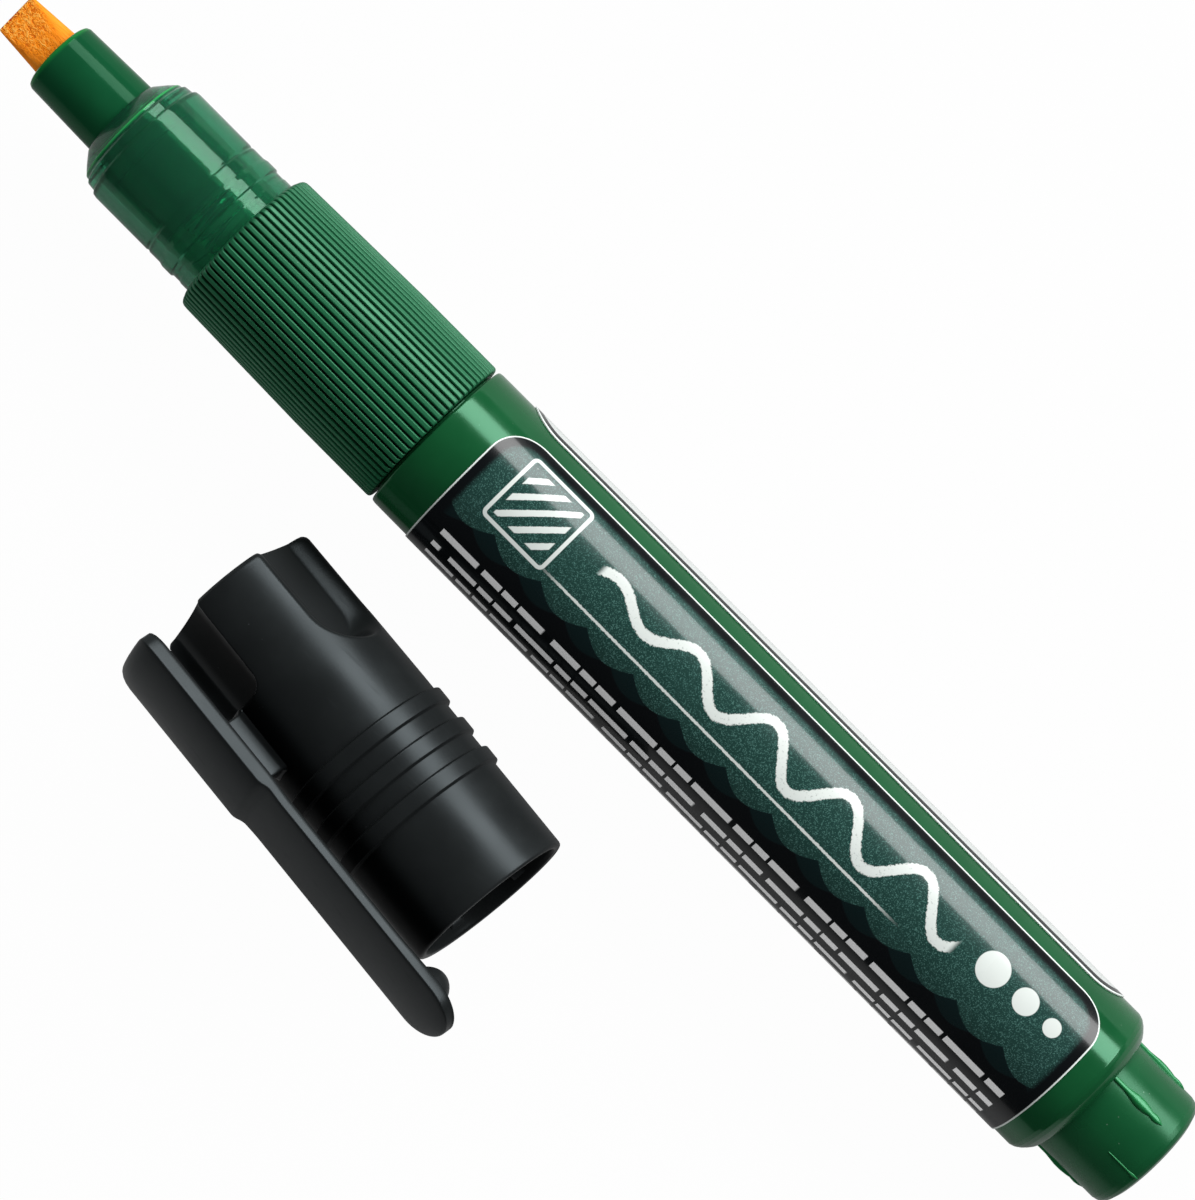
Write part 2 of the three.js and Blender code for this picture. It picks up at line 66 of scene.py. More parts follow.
def findCap():
    # v runs from the cap's mouth to its closed end; the inner cap's end face fixes the place
    turn = Matrix.Rotation(math.radians(-capLie["yaw"]), 4, "Z")
    turn @= Matrix.Rotation(math.radians(capLie["tilt"]), 4, "Y")
    turn @= Matrix.Rotation(math.radians(capLie["roll"]), 4, "X")
    along = (turn @ Vector((1, 0, 0, 0))).to_3d()
    points = [vertex.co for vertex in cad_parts["inner_cap"].data.vertices]
    far = max(point.dot(along) for point in points)
    face = [point for point in points if far - point.dot(along) < 0.01 * mm]
    middle = sum(face, Vector()) / len(face)
    return Matrix.Translation(middle - along * capLie["innerCapEnd"] * mm) @ turn


capPlace = findCap()


def onCap(v, angle, radius):
    turn = math.radians(angle)
    side, up = radius * math.sin(turn), radius * math.cos(turn)
    return capPlace @ (Vector((v, side, up)) * mm)


def beside(place, along, angle, across, height):
    # A point beside and above a line at the given angle
    turn = math.degrees(math.atan2(across, height))
    return place(along, angle + turn, math.hypot(across, height))


# Mesh helpers

def addObject(name, data):
    added = bpy.data.objects.new(name, data)
    bpy.context.scene.collection.objects.link(added)
    return added


def makeObject(name, points, faces, sharpAngle=35):
    build = bmesh.new()
    made = [build.verts.new(point) for point in points]
    for face in faces:
        build.faces.new([made[i] for i in face])
    bmesh.ops.remove_doubles(build, verts=build.verts, dist=0.0005 * mm)
    bmesh.ops.recalc_face_normals(build, faces=build.faces)
    mesh = bpy.data.meshes.new(name)
    build.to_mesh(mesh)
    build.free()
    mesh.polygons.foreach_set("use_smooth", [True] * len(mesh.polygons))
    mesh.set_sharp_from_angle(angle=math.radians(sharpAngle))
    return addObject(name, mesh)


def skin(name, rings, closed=False, sharpAngle=35):
    # Rings of equally many points, joined one to the next; an open row gets end faces
    count = len(rings[0])
    points = [point for ring in rings for point in ring]
    faces = []
    for k in range(len(rings) if closed else len(rings) - 1):
        here, there = k * count, ((k + 1) % len(rings)) * count
        for i in range(count):
            j = (i + 1) % count
            faces.append((here + i, here + j, there + j, there + i))
    if not closed:
        faces.append(tuple(range(count)))
        faces.append(tuple(range(len(points) - count, len(points))))
    return makeObject(name, points, faces, sharpAngle)


def eased(profile, radius, closed, steps=4):
    # Rounds the corners of a profile
    rounded = []
    for i, point in enumerate(profile):
        if not closed and i in (0, len(profile) - 1):
            rounded.append(point)
            continue
        corner = Vector(point)
        back = Vector(profile[i - 1]) - corner
        ahead = Vector(profile[(i + 1) % len(profile)]) - corner
        bend = math.pi - back.angle(ahead)
        if bend < math.radians(10):
            rounded.append(point)
            continue
        reach = min(radius * math.tan(bend / 2), back.length * 0.45, ahead.length * 0.45)
        start, end = corner + back.normalized() * reach, corner + ahead.normalized() * reach
        for k in range(steps + 1):
            share = k / steps
            spot = start * (1 - share) ** 2 + corner * 2 * share * (1 - share) + end * share ** 2
            rounded.append((spot.x, spot.y))
    return rounded


def lathe(name, profile, rounding=0.1, turns=160):
    # A profile from axis to axis, or a closed one round a bore
    closed = profile[0][1] > 0
    outline = eased(profile, rounding, closed)
    points, faces = [], []
    for along, radius in outline:
        points += [onMarker(along, 360 * i / turns, radius) for i in range(turns)]
    for k in range(len(outline) if closed else len(outline) - 1):
        here, there = k * turns, ((k + 1) % len(outline)) * turns
        for i in range(turns):
            j = (i + 1) % turns
            corners = [here + i, here + j, there + j, there + i]
            if outline[k][1] == 0:
                corners = [here, there + j, there + i]
            if outline[(k + 1) % len(outline)][1] == 0:
                corners = [here + i, here + j, there]
            faces.append(corners)
    return makeObject(name, points, faces)


def joined(name, pieces):
    bpy.ops.object.select_all(action="DESELECT")
    for piece in pieces:
        piece.select_set(True)
    bpy.context.view_layer.objects.active = pieces[0]
    bpy.ops.object.join()
    pieces[0].name = name
    return pieces[0]


def dress(piece, material, body, slotName, *nodes):
    piece.data.materials.clear()
    piece.data.materials.append(material)
    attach(piece, body)
    if nodes:
        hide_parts(*nodes)


def markPoints(piece, name, values):
    piece.data.attributes.new(name, "FLOAT", "POINT").data.foreach_set("value", values)


def between(low, high, count):
    return [low + (high - low) * k / (count - 1) for k in range(count)]


def smooth(value):
    share = min(max(value, 0), 1)
    return share * share * (3 - 2 * share)


# Shader helpers

def srgb(red, green, blue):
    levels = []
    for level in (red / 255, green / 255, blue / 255):
        levels.append(level / 12.92 if level < 0.04045 else ((level + 0.055) / 1.055) ** 2.4)
    return (*levels, 1)


def feed(tree, value, socket):
    if isinstance(value, bpy.types.NodeSocket):
        tree.links.new(value, socket)
    else:
        socket.default_value = value


def calc(tree, operation, *values):
    node = tree.nodes.new("ShaderNodeMath")
    node.operation = operation
    for i, value in enumerate(values):
        feed(tree, value, node.inputs[i])
    return node.outputs[0]


def ramp(tree, value, low, high, fromLow=0.0, fromHigh=1.0):
    node = tree.nodes.new("ShaderNodeMapRange")
    node.interpolation_type = "SMOOTHSTEP"
    for i, entry in enumerate((value, fromLow, fromHigh, low, high)):
        feed(tree, entry, node.inputs[i])
    return node.outputs[0]


def blendColours(tree, share, first, second):
    node = tree.nodes.new("ShaderNodeMix")
    node.data_type = "RGBA"
    feed(tree, share, node.inputs[0])
    feed(tree, first, node.inputs[6])
    feed(tree, second, node.inputs[7])
    return node.outputs[2]


def objectPlace(tree):
    return tree.nodes.new("ShaderNodeTexCoord").outputs["Object"]


def split(tree, value, kind="ShaderNodeSeparateXYZ"):
    node = tree.nodes.new(kind)
    tree.links.new(value, node.inputs[0])
    return node.outputs


def readMark(tree, name):
    node = tree.nodes.new("ShaderNodeAttribute")
    node.attribute_name = name
    return node.outputs["Fac"]


def noise(tree, place, scale, detail=2.0, rough=0.5, distortion=0.0):
    node = tree.nodes.new("ShaderNodeTexNoise")
    feed(tree, place, node.inputs["Vector"])
    for name, value in (("Scale", scale), ("Detail", detail), ("Roughness", rough),
                        ("Distortion", distortion)):
        feed(tree, value, node.inputs[name])
    return node.outputs["Fac"]


def stretched(tree, place, scale):
    node = tree.nodes.new("ShaderNodeMapping")
    feed(tree, place, node.inputs["Vector"])
    node.inputs["Scale"].default_value = scale
    return node.outputs[0]


def newGroup(name, inputs, outputs):
    group = bpy.data.node_groups.new(name, "ShaderNodeTree")
    for label, kind, value in inputs:
        socket = group.interface.new_socket(label, in_out="INPUT", socket_type=kind)
        if value is not None:
            socket.default_value = value
    for label, kind in outputs:
        group.interface.new_socket(label, in_out="OUTPUT", socket_type=kind)
    return group, group.nodes.new("NodeGroupInput"), group.nodes.new("NodeGroupOutput")


def makeMouldedSkin():
    # Moulded plastic: fine grain, slow blotches, specks of dust and hair scratches along the part
    group, source, result = newGroup(
        "mouldedSkin",
        [("Grain", "NodeSocketFloat", 2500.0), ("Blotches", "NodeSocketFloat", 160.0),
         ("Specks", "NodeSocketFloat", 1400.0)],
        [("Height", "NodeSocketFloat"), ("Blotch", "NodeSocketFloat"), ("Speck", "NodeSocketFloat"),
         ("Scratch", "NodeSocketFloat")],
    )
    place = objectPlace(group)
    grain = noise(group, place, source.outputs["Grain"], 3, 0.6)
    blotch = noise(group, place, source.outputs["Blotches"], 3, 0.55)
    cells = group.nodes.new("ShaderNodeTexVoronoi")
    feed(group, place, cells.inputs["Vector"])
    feed(group, source.outputs["Specks"], cells.inputs["Scale"])
    rare = noise(group, place, 420, 1, 0.5)
    near = ramp(group, cells.outputs["Distance"], 1, 0, 0.03, 0.1)
    speck = calc(group, "MULTIPLY", near, ramp(group, rare, 0, 1, 0.62, 0.7))
    hairs = noise(group, stretched(group, place, (60, 2600, 2600)), 1, 2, 0.7)
    scratch = ramp(group, hairs, 0, 1, 0.6, 0.78)
    for name, value in (("Height", grain), ("Blotch", blotch), ("Speck", speck), ("Scratch", scratch)):
        group.links.new(value, result.inputs[name])
    return group


mouldedSkin = makeMouldedSkin()


def openUp(material):
    return material.node_tree, material.node_tree.nodes["Principled BSDF"]


def newMaterial(name):
    material = bpy.data.materials.new(name)
    material.use_nodes = True
    return (material, *openUp(material))


def layColour(material, share, colour):
    tree, shader = openUp(material)
    own = shader.inputs["Base Color"].links[0].from_socket
    tree.links.new(blendColours(tree, share, own, colour), shader.inputs["Base Color"])


def skinIn(tree, grain, blotches, specks):
    node = tree.nodes.new("ShaderNodeGroup")
    node.node_tree = mouldedSkin
    for name, value in (("Grain", grain), ("Blotches", blotches), ("Specks", specks)):
        node.inputs[name].default_value = value
    return node.outputs


def bump(tree, height, strength, distance, shader):
    node = tree.nodes.new("ShaderNodeBump")
    node.inputs["Strength"].default_value = strength
    node.inputs["Distance"].default_value = distance
    feed(tree, height, node.inputs["Height"])
    tree.links.new(node.outputs["Normal"], shader.inputs["Normal"])


def mixShaders(tree, share, first, second):
    mix = tree.nodes.new("ShaderNodeMixShader")
    feed(tree, share, mix.inputs[0])
    tree.links.new(first.outputs[0], mix.inputs[1])
    tree.links.new(second.outputs[0], mix.inputs[2])
    tree.links.new(mix.outputs[0], tree.nodes["Material Output"].inputs[0])


def plastic(name, look):
    material, tree, shader = newMaterial(name)
    skinOut = skinIn(tree, look["grain"], 160, 1400)
    colour = blendColours(tree, ramp(tree, skinOut["Blotch"], 0, 1, 0.3, 0.7), look["deep"], look["colour"])
    dusty = calc(tree, "MULTIPLY", skinOut["Speck"], look.get("dust", 0.25))
    colour = blendColours(tree, dusty, colour, look.get("dustColour", srgb(190, 205, 196)))
    tree.links.new(colour, shader.inputs["Base Color"])
    worn = calc(tree, "MULTIPLY", skinOut["Scratch"], look.get("scratches", 0.06))
    uneven = ramp(tree, skinOut["Blotch"], look["rough"] - 0.03, look["rough"] + 0.04, 0.3, 0.7)
    tree.links.new(calc(tree, "ADD", uneven, worn), shader.inputs["Roughness"])
    shader.inputs["Specular Tint"].default_value = look["gloss"]
    shader.inputs["IOR"].default_value = look.get("ior", 1.5)
    shader.inputs["Subsurface Weight"].default_value = look.get("soft", 0)
    shader.inputs["Subsurface Radius"].default_value = (0.3, 1, 0.5)
    shader.inputs["Subsurface Scale"].default_value = 0.6 * mm
    bump(tree, skinOut["Height"], look.get("relief", 0.1), 0.02 * mm, shader)
    return material


# Green plastics
greenGloss = (0.42, 1, 0.66, 1)
barrelGreen = plastic("barrelGreen", {
    "colour": (0.0058, 0.066, 0.021, 1), "deep": (0.0048, 0.057, 0.018, 1), "rough": 0.145,
    "gloss": greenGloss, "ior": 1.46, "grain": 3200, "relief": 0.05,
})
buttonGreen = plastic("buttonGreen", {
    "colour": (0.0062, 0.07, 0.023, 1), "deep": (0.0052, 0.06, 0.02, 1), "rough": 0.27,
    "gloss": greenGloss, "ior": 1.37, "grain": 3200, "relief": 0.05,
})
noseGreen = plastic("noseGreen", {
    "colour": (0.0052, 0.064, 0.024, 1), "deep": (0.0044, 0.055, 0.020, 1), "rough": 0.14,
    "gloss": greenGloss, "ior": 1.19, "grain": 3200, "relief": 0.03,
})


def paintFrontRimLight(material):
    # Painted light: the nose piece's thin front rim is painted a brighter green, standing in for the light it
    # lets through
    tree = material.node_tree
    along = split(tree, objectPlace(tree))["X"]
    rim = ramp(tree, along, 0, 0.8, tip.x - 5.5 * mm, tip.x - 5.1 * mm)
    layColour(material, rim, (0.008, 0.17, 0.03, 1))


paintFrontRimLight(noseGreen)


def paintRailHighlight(material):
    # Painted highlight: the button's rails and its seam are painted a brighter green and given a higher
    # specular level than its wall, so that they look lit
    tree, shader = openUp(material)
    share = readMark(tree, "rail")
    layColour(material, share, (0.008, 0.13, 0.035, 1))
    tree.links.new(ramp(tree, share, 0.5, 1), shader.inputs["Specular IOR Level"])


paintRailHighlight(buttonGreen)


def makeGripGreen():
    # Painted shade: the grooves between the ribs are painted dark, and the sleeve carries a little dust
    look = {"crest": (0.009, 0.09, 0.037, 1), "groove": (0.001, 0.012, 0.005, 1), "rough": 0.42}
    material, tree, shader = newMaterial("gripGreen")
    skinOut = skinIn(tree, 3800, 220, 1500)
    dark = ramp(tree, readMark(tree, "grooveDepth"), 0, 1, 0.3, 1)
    colour = blendColours(tree, dark, look["crest"], look["groove"])
    colour = blendColours(tree, calc(tree, "MULTIPLY", skinOut["Speck"], 0.4), colour, srgb(170, 205, 185))
    tree.links.new(colour, shader.inputs["Base Color"])
    uneven = ramp(tree, skinOut["Blotch"], look["rough"] - 0.04, look["rough"] + 0.05, 0.3, 0.7)
    tree.links.new(uneven, shader.inputs["Roughness"])
    shader.inputs["Specular Tint"].default_value = greenGloss
    shader.inputs["IOR"].default_value = 1.55
    bump(tree, skinOut["Height"], 0.12, 0.02 * mm, shader)
    return material


def makeClearGreen():
    # Clear tinted plastic: mostly seen through, with a glossy skin
    material, tree, shader = newMaterial("clearGreen")
    skinOut = skinIn(tree, 2200, 140, 1200)
    colour = blendColours(tree, skinOut["Blotch"], (0.042, 0.3, 0.155, 1), (0.055, 0.35, 0.185, 1))
    # Painted light: the thin edge where the shoulder meets the body is painted as a band of solid, brighter
    # green, mixed in there, standing in for the glow of light carried by the edge
    along = split(tree, objectPlace(tree))["X"]
    off = calc(tree, "ABSOLUTE", calc(tree, "SUBTRACT", along, tip.x - 13.74 * mm))
    glow = ramp(tree, off, 0.85, 0, 0.05 * mm, 0.13 * mm)
    colour = blendColours(tree, glow, colour, (0.02, 0.3, 0.06, 1))
    rough = calc(tree, "ADD", ramp(tree, skinOut["Blotch"], 0.03, 0.08, 0.3, 0.7),
                 calc(tree, "MULTIPLY", skinOut["Scratch"], 0.1))
    solid = tree.nodes.new("ShaderNodeBsdfPrincipled")
    for each in (shader, solid):
        tree.links.new(colour, each.inputs["Base Color"])
        tree.links.new(rough, each.inputs["Roughness"])
        each.inputs["IOR"].default_value = 1.36
        each.inputs["Specular IOR Level"].default_value = 0.42
        each.inputs["Specular Tint"].default_value = (0.55, 1, 0.75, 1)
        bump(tree, skinOut["Height"], 0.04, 0.02 * mm, each)
    shader.inputs["Transmission Weight"].default_value = 0.88
    mixShaders(tree, calc(tree, "MULTIPLY", glow, 0.795), shader, solid)
    return material


def makeBlackPlastic():
    material = plastic("blackPlastic", {
        "colour": (0.0108, 0.0124, 0.0127, 1), "deep": (0.0085, 0.0097, 0.01, 1), "rough": 0.33,
        "gloss": (0.82, 0.95, 1, 1), "ior": 1.29, "grain": 2600, "relief": 0.05, "dust": 0.18,
        "dustColour": srgb(120, 125, 130), "scratches": 0.1,
    })
    # Painted shade: the reflections on the wall beside the clip and in the bore are dimmed, standing in for
    # the shade there
    tree, shader = openUp(material)
    tree.links.new(ramp(tree, readMark(tree, "nook"), 0.5, 0.05), shader.inputs["Specular IOR Level"])
    return material


def makeNibFibre():
    # Cut fibres on the two flats, streaks along the uncut sides
    look = {"ink": srgb(255, 144, 8), "pale": srgb(255, 198, 96), "shade": srgb(188, 64, 1),
            "side": srgb(224, 126, 38)}
    material, tree, shader = newMaterial("nibFibre")
    place = objectPlace(tree)
    curls = noise(tree, stretched(tree, place, (1, 1.7, 1.7)), 1700, 1.5, 0.4, 1.6)
    ridges = calc(tree, "MULTIPLY", calc(tree, "ABSOLUTE", calc(tree, "SUBTRACT", curls, 0.5)), 5.5)
    cut = ramp(tree, ridges, 0.85, 0.25, 0.1, 0.8)
    streak = noise(tree, stretched(tree, place, (260, 4200, 4200)), 1, 3, 0.6)
    facing = split(tree, tree.nodes.new("ShaderNodeNewGeometry").outputs["Normal"])["X"]
    onFlat = ramp(tree, facing, 0, 1, 0.12, 0.4)
    level = split(tree, blendColours(tree, onFlat, streak, cut), "ShaderNodeSeparateColor")[0]
    colour = blendColours(tree, ramp(tree, level, 0, 1, 0.27, 0.52), look["shade"], look["ink"])
    colour = blendColours(tree, ramp(tree, level, 0, 1, 0.58, 0.78), colour, look["pale"])
    uncut = calc(tree, "MULTIPLY_ADD", onFlat, -0.65, 0.65)
    colour = blendColours(tree, uncut, colour, look["side"])
    tree.links.new(colour, shader.inputs["Base Color"])
    tree.links.new(ramp(tree, level, 0.95, 0.75), shader.inputs["Roughness"])
    shader.inputs["Specular IOR Level"].default_value = 0.1
    bump(tree, level, 1, 0.12 * mm, shader)
    return material


def makeSteel(name, rough):
    material, tree, shader = newMaterial(name)
    place = objectPlace(tree)
    marks = noise(tree, place, 5200, 3, 0.6)
    tree.links.new(blendColours(tree, marks, (0.5, 0.51, 0.53, 1), (0.68, 0.68, 0.7, 1)),
                   shader.inputs["Base Color"])
    shader.inputs["Metallic"].default_value = 1
    tree.links.new(ramp(tree, marks, rough, rough + 0.12), shader.inputs["Roughness"])
    bump(tree, marks, 0.08, 0.02 * mm, shader)
    return material


gripGreen = makeGripGreen()
clearGreen = makeClearGreen()
blackPlastic = makeBlackPlastic()
nibFibre = makeNibFibre()
springSteel = makeSteel("springSteel", 0.25)
ballSteel = makeSteel("ballSteel", 0.1)
palePlastic = plastic("palePlastic", {
    "colour": (0.62, 0.6, 0.53, 1), "deep": (0.55, 0.53, 0.46, 1), "rough": 0.45,
    "gloss": (1, 1, 1, 1), "grain": 2400, "soft": 0.3,
})
sealRubber = plastic("sealRubber", {
    "colour": (0.02, 0.02, 0.021, 1), "deep": (0.014, 0.014, 0.015, 1), "rough": 0.7,
    "gloss": (1, 1, 1, 1), "grain": 3600, "relief": 0.3,
})
padFibre = plastic("padFibre", {
    "colour": (0.72, 0.4, 0.2, 1), "deep": (0.55, 0.26, 0.1, 1), "rough": 0.9,
    "gloss": (1, 1, 1, 1), "grain": 5200, "relief": 0.8, "ior": 1.3,
})

label = {
    "front": 53.2, "end": 121.9, "corner": 3.5, "from": -47.2, "to": 296.3, "lift": 0.13, "inside": 0.03,
    "frontRadius": 7.47, "tailRadius": 7.59, "taperFrom": 50.6, "taperTo": 123.8,
}


def labelRadius(u):
    share = (u - label["taperFrom"]) / (label["taperTo"] - label["taperFrom"])
    return label["frontRadius"] + (label["tailRadius"] - label["frontRadius"]) * share


def makeLabelPrint():
    # x runs along the label from its front edge, a round it from the edge at the bare strip, in millimetres
    look = {
        "length": label["end"] - label["front"], "radius": 7.66, "frontPanel": 24.5,
        "black": srgb(10, 13, 15), "teal": srgb(28, 56, 51), "highlightTeal": srgb(38, 68, 63),
        "deepTeal": srgb(12, 27, 28), "chalk": srgb(200, 206, 202), "paper": srgb(178, 182, 180),
        "scallop": 5.3, "scallopDepth": 1.15, "bandFrom": 1.1, "bandTo": 8.6,
        "bandMiddle": 4.7, "wave": 8.6, "waveHeight": 1.75, "waveHalf": 0.42, "waveFrom": 13.5, "waveTo": 55,
        "underline": 7.75, "underlineFrom": 11, "underlineTo": 49,
        "square": {"x": 6.6, "half": 3.45, "corner": 0.6, "line": 0.17},
        "dots": ((58.6, 1.5), (62.3, 1.15), (65.3, 0.8)),
        "rows": (11.9, 13.75, 15.6, 17.45, 19.3), "farRows": (28.5, 31.5, 34.5, 37.5),
    }
    look["width"] = math.radians(label["to"] - label["from"]) * look["radius"]
    material, tree, shader = newMaterial("labelPrint")

    def do(operation, *values):
        return calc(tree, operation, *values)

    def stripe(value, middle, half, soft=0.03):
        return ramp(tree, do("ABSOLUTE", do("SUBTRACT", value, middle)), 1, 0, half - soft, half + soft)

    def past(value, line, soft):
        return ramp(tree, value, 0, 1, line - soft, line + soft)

    def within(value, low, high, soft=0.03):
        return stripe(value, (low + high) / 2, (high - low) / 2, soft)

    def both(first, second):
        return do("MULTIPLY", first, second)

    place = objectPlace(tree)
    axes = split(tree, place)
    x = do("MULTIPLY_ADD", axes["X"], -1 / mm, tip.x / mm - label["front"])
    turn = do("ARCTAN2", do("SUBTRACT", axes["Y"], tip.y), do("SUBTRACT", axes["Z"], tip.z))
    turn = do("WRAP", do("SUBTRACT", turn, math.radians(label["from"])), math.tau, -0.02)
    a = do("MULTIPLY", turn, look["radius"])

    chalky = noise(tree, place, 4200, 4, 0.7)
    cloudy = noise(tree, place, 210, 3, 0.55)
    wobble = do("MULTIPLY", do("SUBTRACT", chalky, 0.5), 0.5)

    # Distance in from the edge of a panel with round corners
    def inFrom(middleX, halfX, middleA, halfA, corner):
        outX = do("SUBTRACT", do("ABSOLUTE", do("SUBTRACT", x, middleX)), halfX - corner)
        outA = do("SUBTRACT", do("ABSOLUTE", do("SUBTRACT", a, middleA)), halfA - corner)
        overX, overA = do("MAXIMUM", outX, 0.0), do("MAXIMUM", outA, 0.0)
        reach = do("SQRT", do("ADD", both(overX, overX), both(overA, overA)))
        inner = do("MINIMUM", do("MAXIMUM", outX, outA), 0.0)
        return do("SUBTRACT", corner, do("ADD", reach, inner))

    halfLength, halfWidth = look["length"] / 2, look["width"] / 2
    edge = inFrom(halfLength, halfLength, halfWidth, halfWidth, label["corner"])

    # Front panel: dark field and a teal band with a scalloped lower edge; near the band's top a paler teal is
    # a painted highlight, where the lamp's reflection falls
    rise = do("ABSOLUTE", do("SINE", do("MULTIPLY", x, math.pi / look["scallop"])))
    lower = do("MULTIPLY_ADD", rise, look["scallopDepth"], look["bandTo"])
    shifted = do("ABSOLUTE", do("SINE", do("MULTIPLY_ADD", x, math.pi / look["scallop"], 1.2)))
    lowerDeep = do("MULTIPLY_ADD", shifted, look["scallopDepth"], look["bandTo"] + 0.75)
    inBand = both(past(do("SUBTRACT", lower, a), 0, 0.06), past(edge, look["bandFrom"], 0.35))
    inDeep = both(past(do("SUBTRACT", lowerDeep, a), 0, 0.06), past(edge, 1.15, 0.35))
    # Painted highlight: the paler teal patch near the band's top
    flare = both(stripe(a, 2.2, 1.3, 1.2), ramp(tree, cloudy, 0.25, 1, 0.35, 0.65))
    colour = blendColours(tree, inDeep, look["black"], look["deepTeal"])
    colour = blendColours(tree, inBand, colour, look["teal"])
    colour = blendColours(tree, both(inBand, flare), colour, look["highlightTeal"])
    # Painted glints: tiny specks in the band are painted a paler teal, standing in for the sparkle of the
    # film's metal flecks
    fleck = tree.nodes.new("ShaderNodeTexVoronoi")
    feed(tree, place, fleck.inputs["Vector"])
    fleck.inputs["Scale"].default_value = 15000
    shine = split(tree, fleck.outputs["Color"], "ShaderNodeSeparateColor")[0]
    glint = both(inBand, ramp(tree, shine, 0, 0.55, 0.72, 0.95))
    colour = blendColours(tree, glint, colour, srgb(84, 128, 120))

    # Chalk stroke that swings along the band
    swell = ramp(tree, x, 0.45, 1, look["waveFrom"], look["waveFrom"] + 22)
    angle = do("MULTIPLY", x, math.tau / look["wave"])
    height = do("MULTIPLY", swell, look["waveHeight"])
    route = do("MULTIPLY_ADD", do("SINE", angle), height, look["bandMiddle"])
    slope = both(do("MULTIPLY", do("COSINE", angle), math.tau / look["wave"]), height)
    steep = do("SQRT", do("ADD", both(slope, slope), 1.0))
    away = do("DIVIDE", do("ABSOLUTE", do("SUBTRACT", a, route)), steep)
    away = do("ADD", away, wobble)
    stroke = both(ramp(tree, away, 1, 0, look["waveHalf"] - 0.05, look["waveHalf"] + 0.07),
                  within(x, look["waveFrom"], look["waveTo"], 0.3))
    stroke = both(stroke, ramp(tree, chalky, 0.55, 1, 0.3, 0.42))
    underline = both(stripe(do("ADD", a, do("MULTIPLY", wobble, 0.5)), look["underline"], 0.11),
                     within(x, look["underlineFrom"], look["underlineTo"], 2))

    # Hatched square at the front and three dots at the tail
    square = look["square"]
    inSquare = inFrom(square["x"], square["half"], look["bandMiddle"], square["half"], square["corner"])
    frameLine = stripe(inSquare, square["line"], square["line"])
    slant = do("PINGPONG", do("ADD", x, a), 0.95)
    hatch = both(ramp(tree, do("ADD", slant, do("MULTIPLY", wobble, 0.4)), 1, 0, 0.34, 0.42),
                 past(inSquare, 0.8, 0.05))
    marks = [stroke, underline, frameLine, hatch]
    for middle, radius in look["dots"]:
        gapX, gapA = do("SUBTRACT", x, middle), do("SUBTRACT", a, look["bandMiddle"])
        spread = do("SQRT", do("ADD", both(gapX, gapX), both(gapA, gapA)))
        marks.append(ramp(tree, spread, 1, 0, radius - 0.04, radius + 0.04))

    # Rows of small plain bars
    def bars(rows, half, pitch, lowX, highX):
        found = None
        for k, row in enumerate(rows):
            along = do("ADD", do("DIVIDE", x, pitch), 3.7 * k)
            sway = do("MULTIPLY", do("SINE", do("MULTIPLY", along, 1.9)), 0.33)
            cell = do("FRACT", do("ADD", along, sway))
            here = both(stripe(a, row, half), ramp(tree, cell, 1, 0, 0.84, 0.87))
            found = here if found is None else do("MAXIMUM", found, here)
        return both(found, within(x, lowX, highX))

    printed = marks[0]
    for mark in marks[1:]:
        printed = do("MAXIMUM", printed, mark)
    colour = blendColours(tree, printed, colour, look["chalk"])
    rows = bars(look["rows"], 0.34, 2.9, 2, look["length"] - 2)
    colour = blendColours(tree, rows, colour, (1, 1, 1, 1))

    # Far panel: pale paper with a black rim and dark bars
    farMiddle, farHalf = (look["frontPanel"] + look["width"]) / 2, (look["width"] - look["frontPanel"]) / 2
    farEdge = inFrom(halfLength, halfLength, farMiddle, farHalf, label["corner"])
    farBars = bars(look["farRows"], 0.32, 3.4, 5, look["length"] - 5)
    paper = blendColours(tree, farBars, look["paper"], look["black"])
    paper = blendColours(tree, ramp(tree, farEdge, 1, 0, 0.78, 0.86), paper, look["black"])
    colour = blendColours(tree, past(a, look["frontPanel"], 0.02), colour, paper)
    # Painted highlight: a thin pale line all round the label's edge, where the film's cut edge catches light
    colour = blendColours(tree, ramp(tree, edge, 1, 0, 0.1, 0.17), colour, srgb(205, 212, 208))
    tree.links.new(colour, shader.inputs["Base Color"])

    tree.links.new(ramp(tree, cloudy, 0.2, 0.3, 0.3, 0.7), shader.inputs["Roughness"])
    shader.inputs["Specular IOR Level"].default_value = 0.15
    shader.inputs["Coat Weight"].default_value = 0.37
    shader.inputs["Coat Roughness"].default_value = 0.09
    bump(tree, noise(tree, stretched(tree, place, (120, 900, 900)), 1, 2, 0.5), 0.08, 0.02 * mm, shader)
    return material


labelPrint = makeLabelPrint()
print("materials made")

# Nib: a fibre rod with two flats that meet in a chisel edge
nibShape = {"radius": 2.28, "tipRadius": 1.95, "exposed": 4.92, "length": 18.3, "bevel": 6.6,
            "tipHalf": 0.42, "roll": 6, "turns": 120, "ease": 0.14}


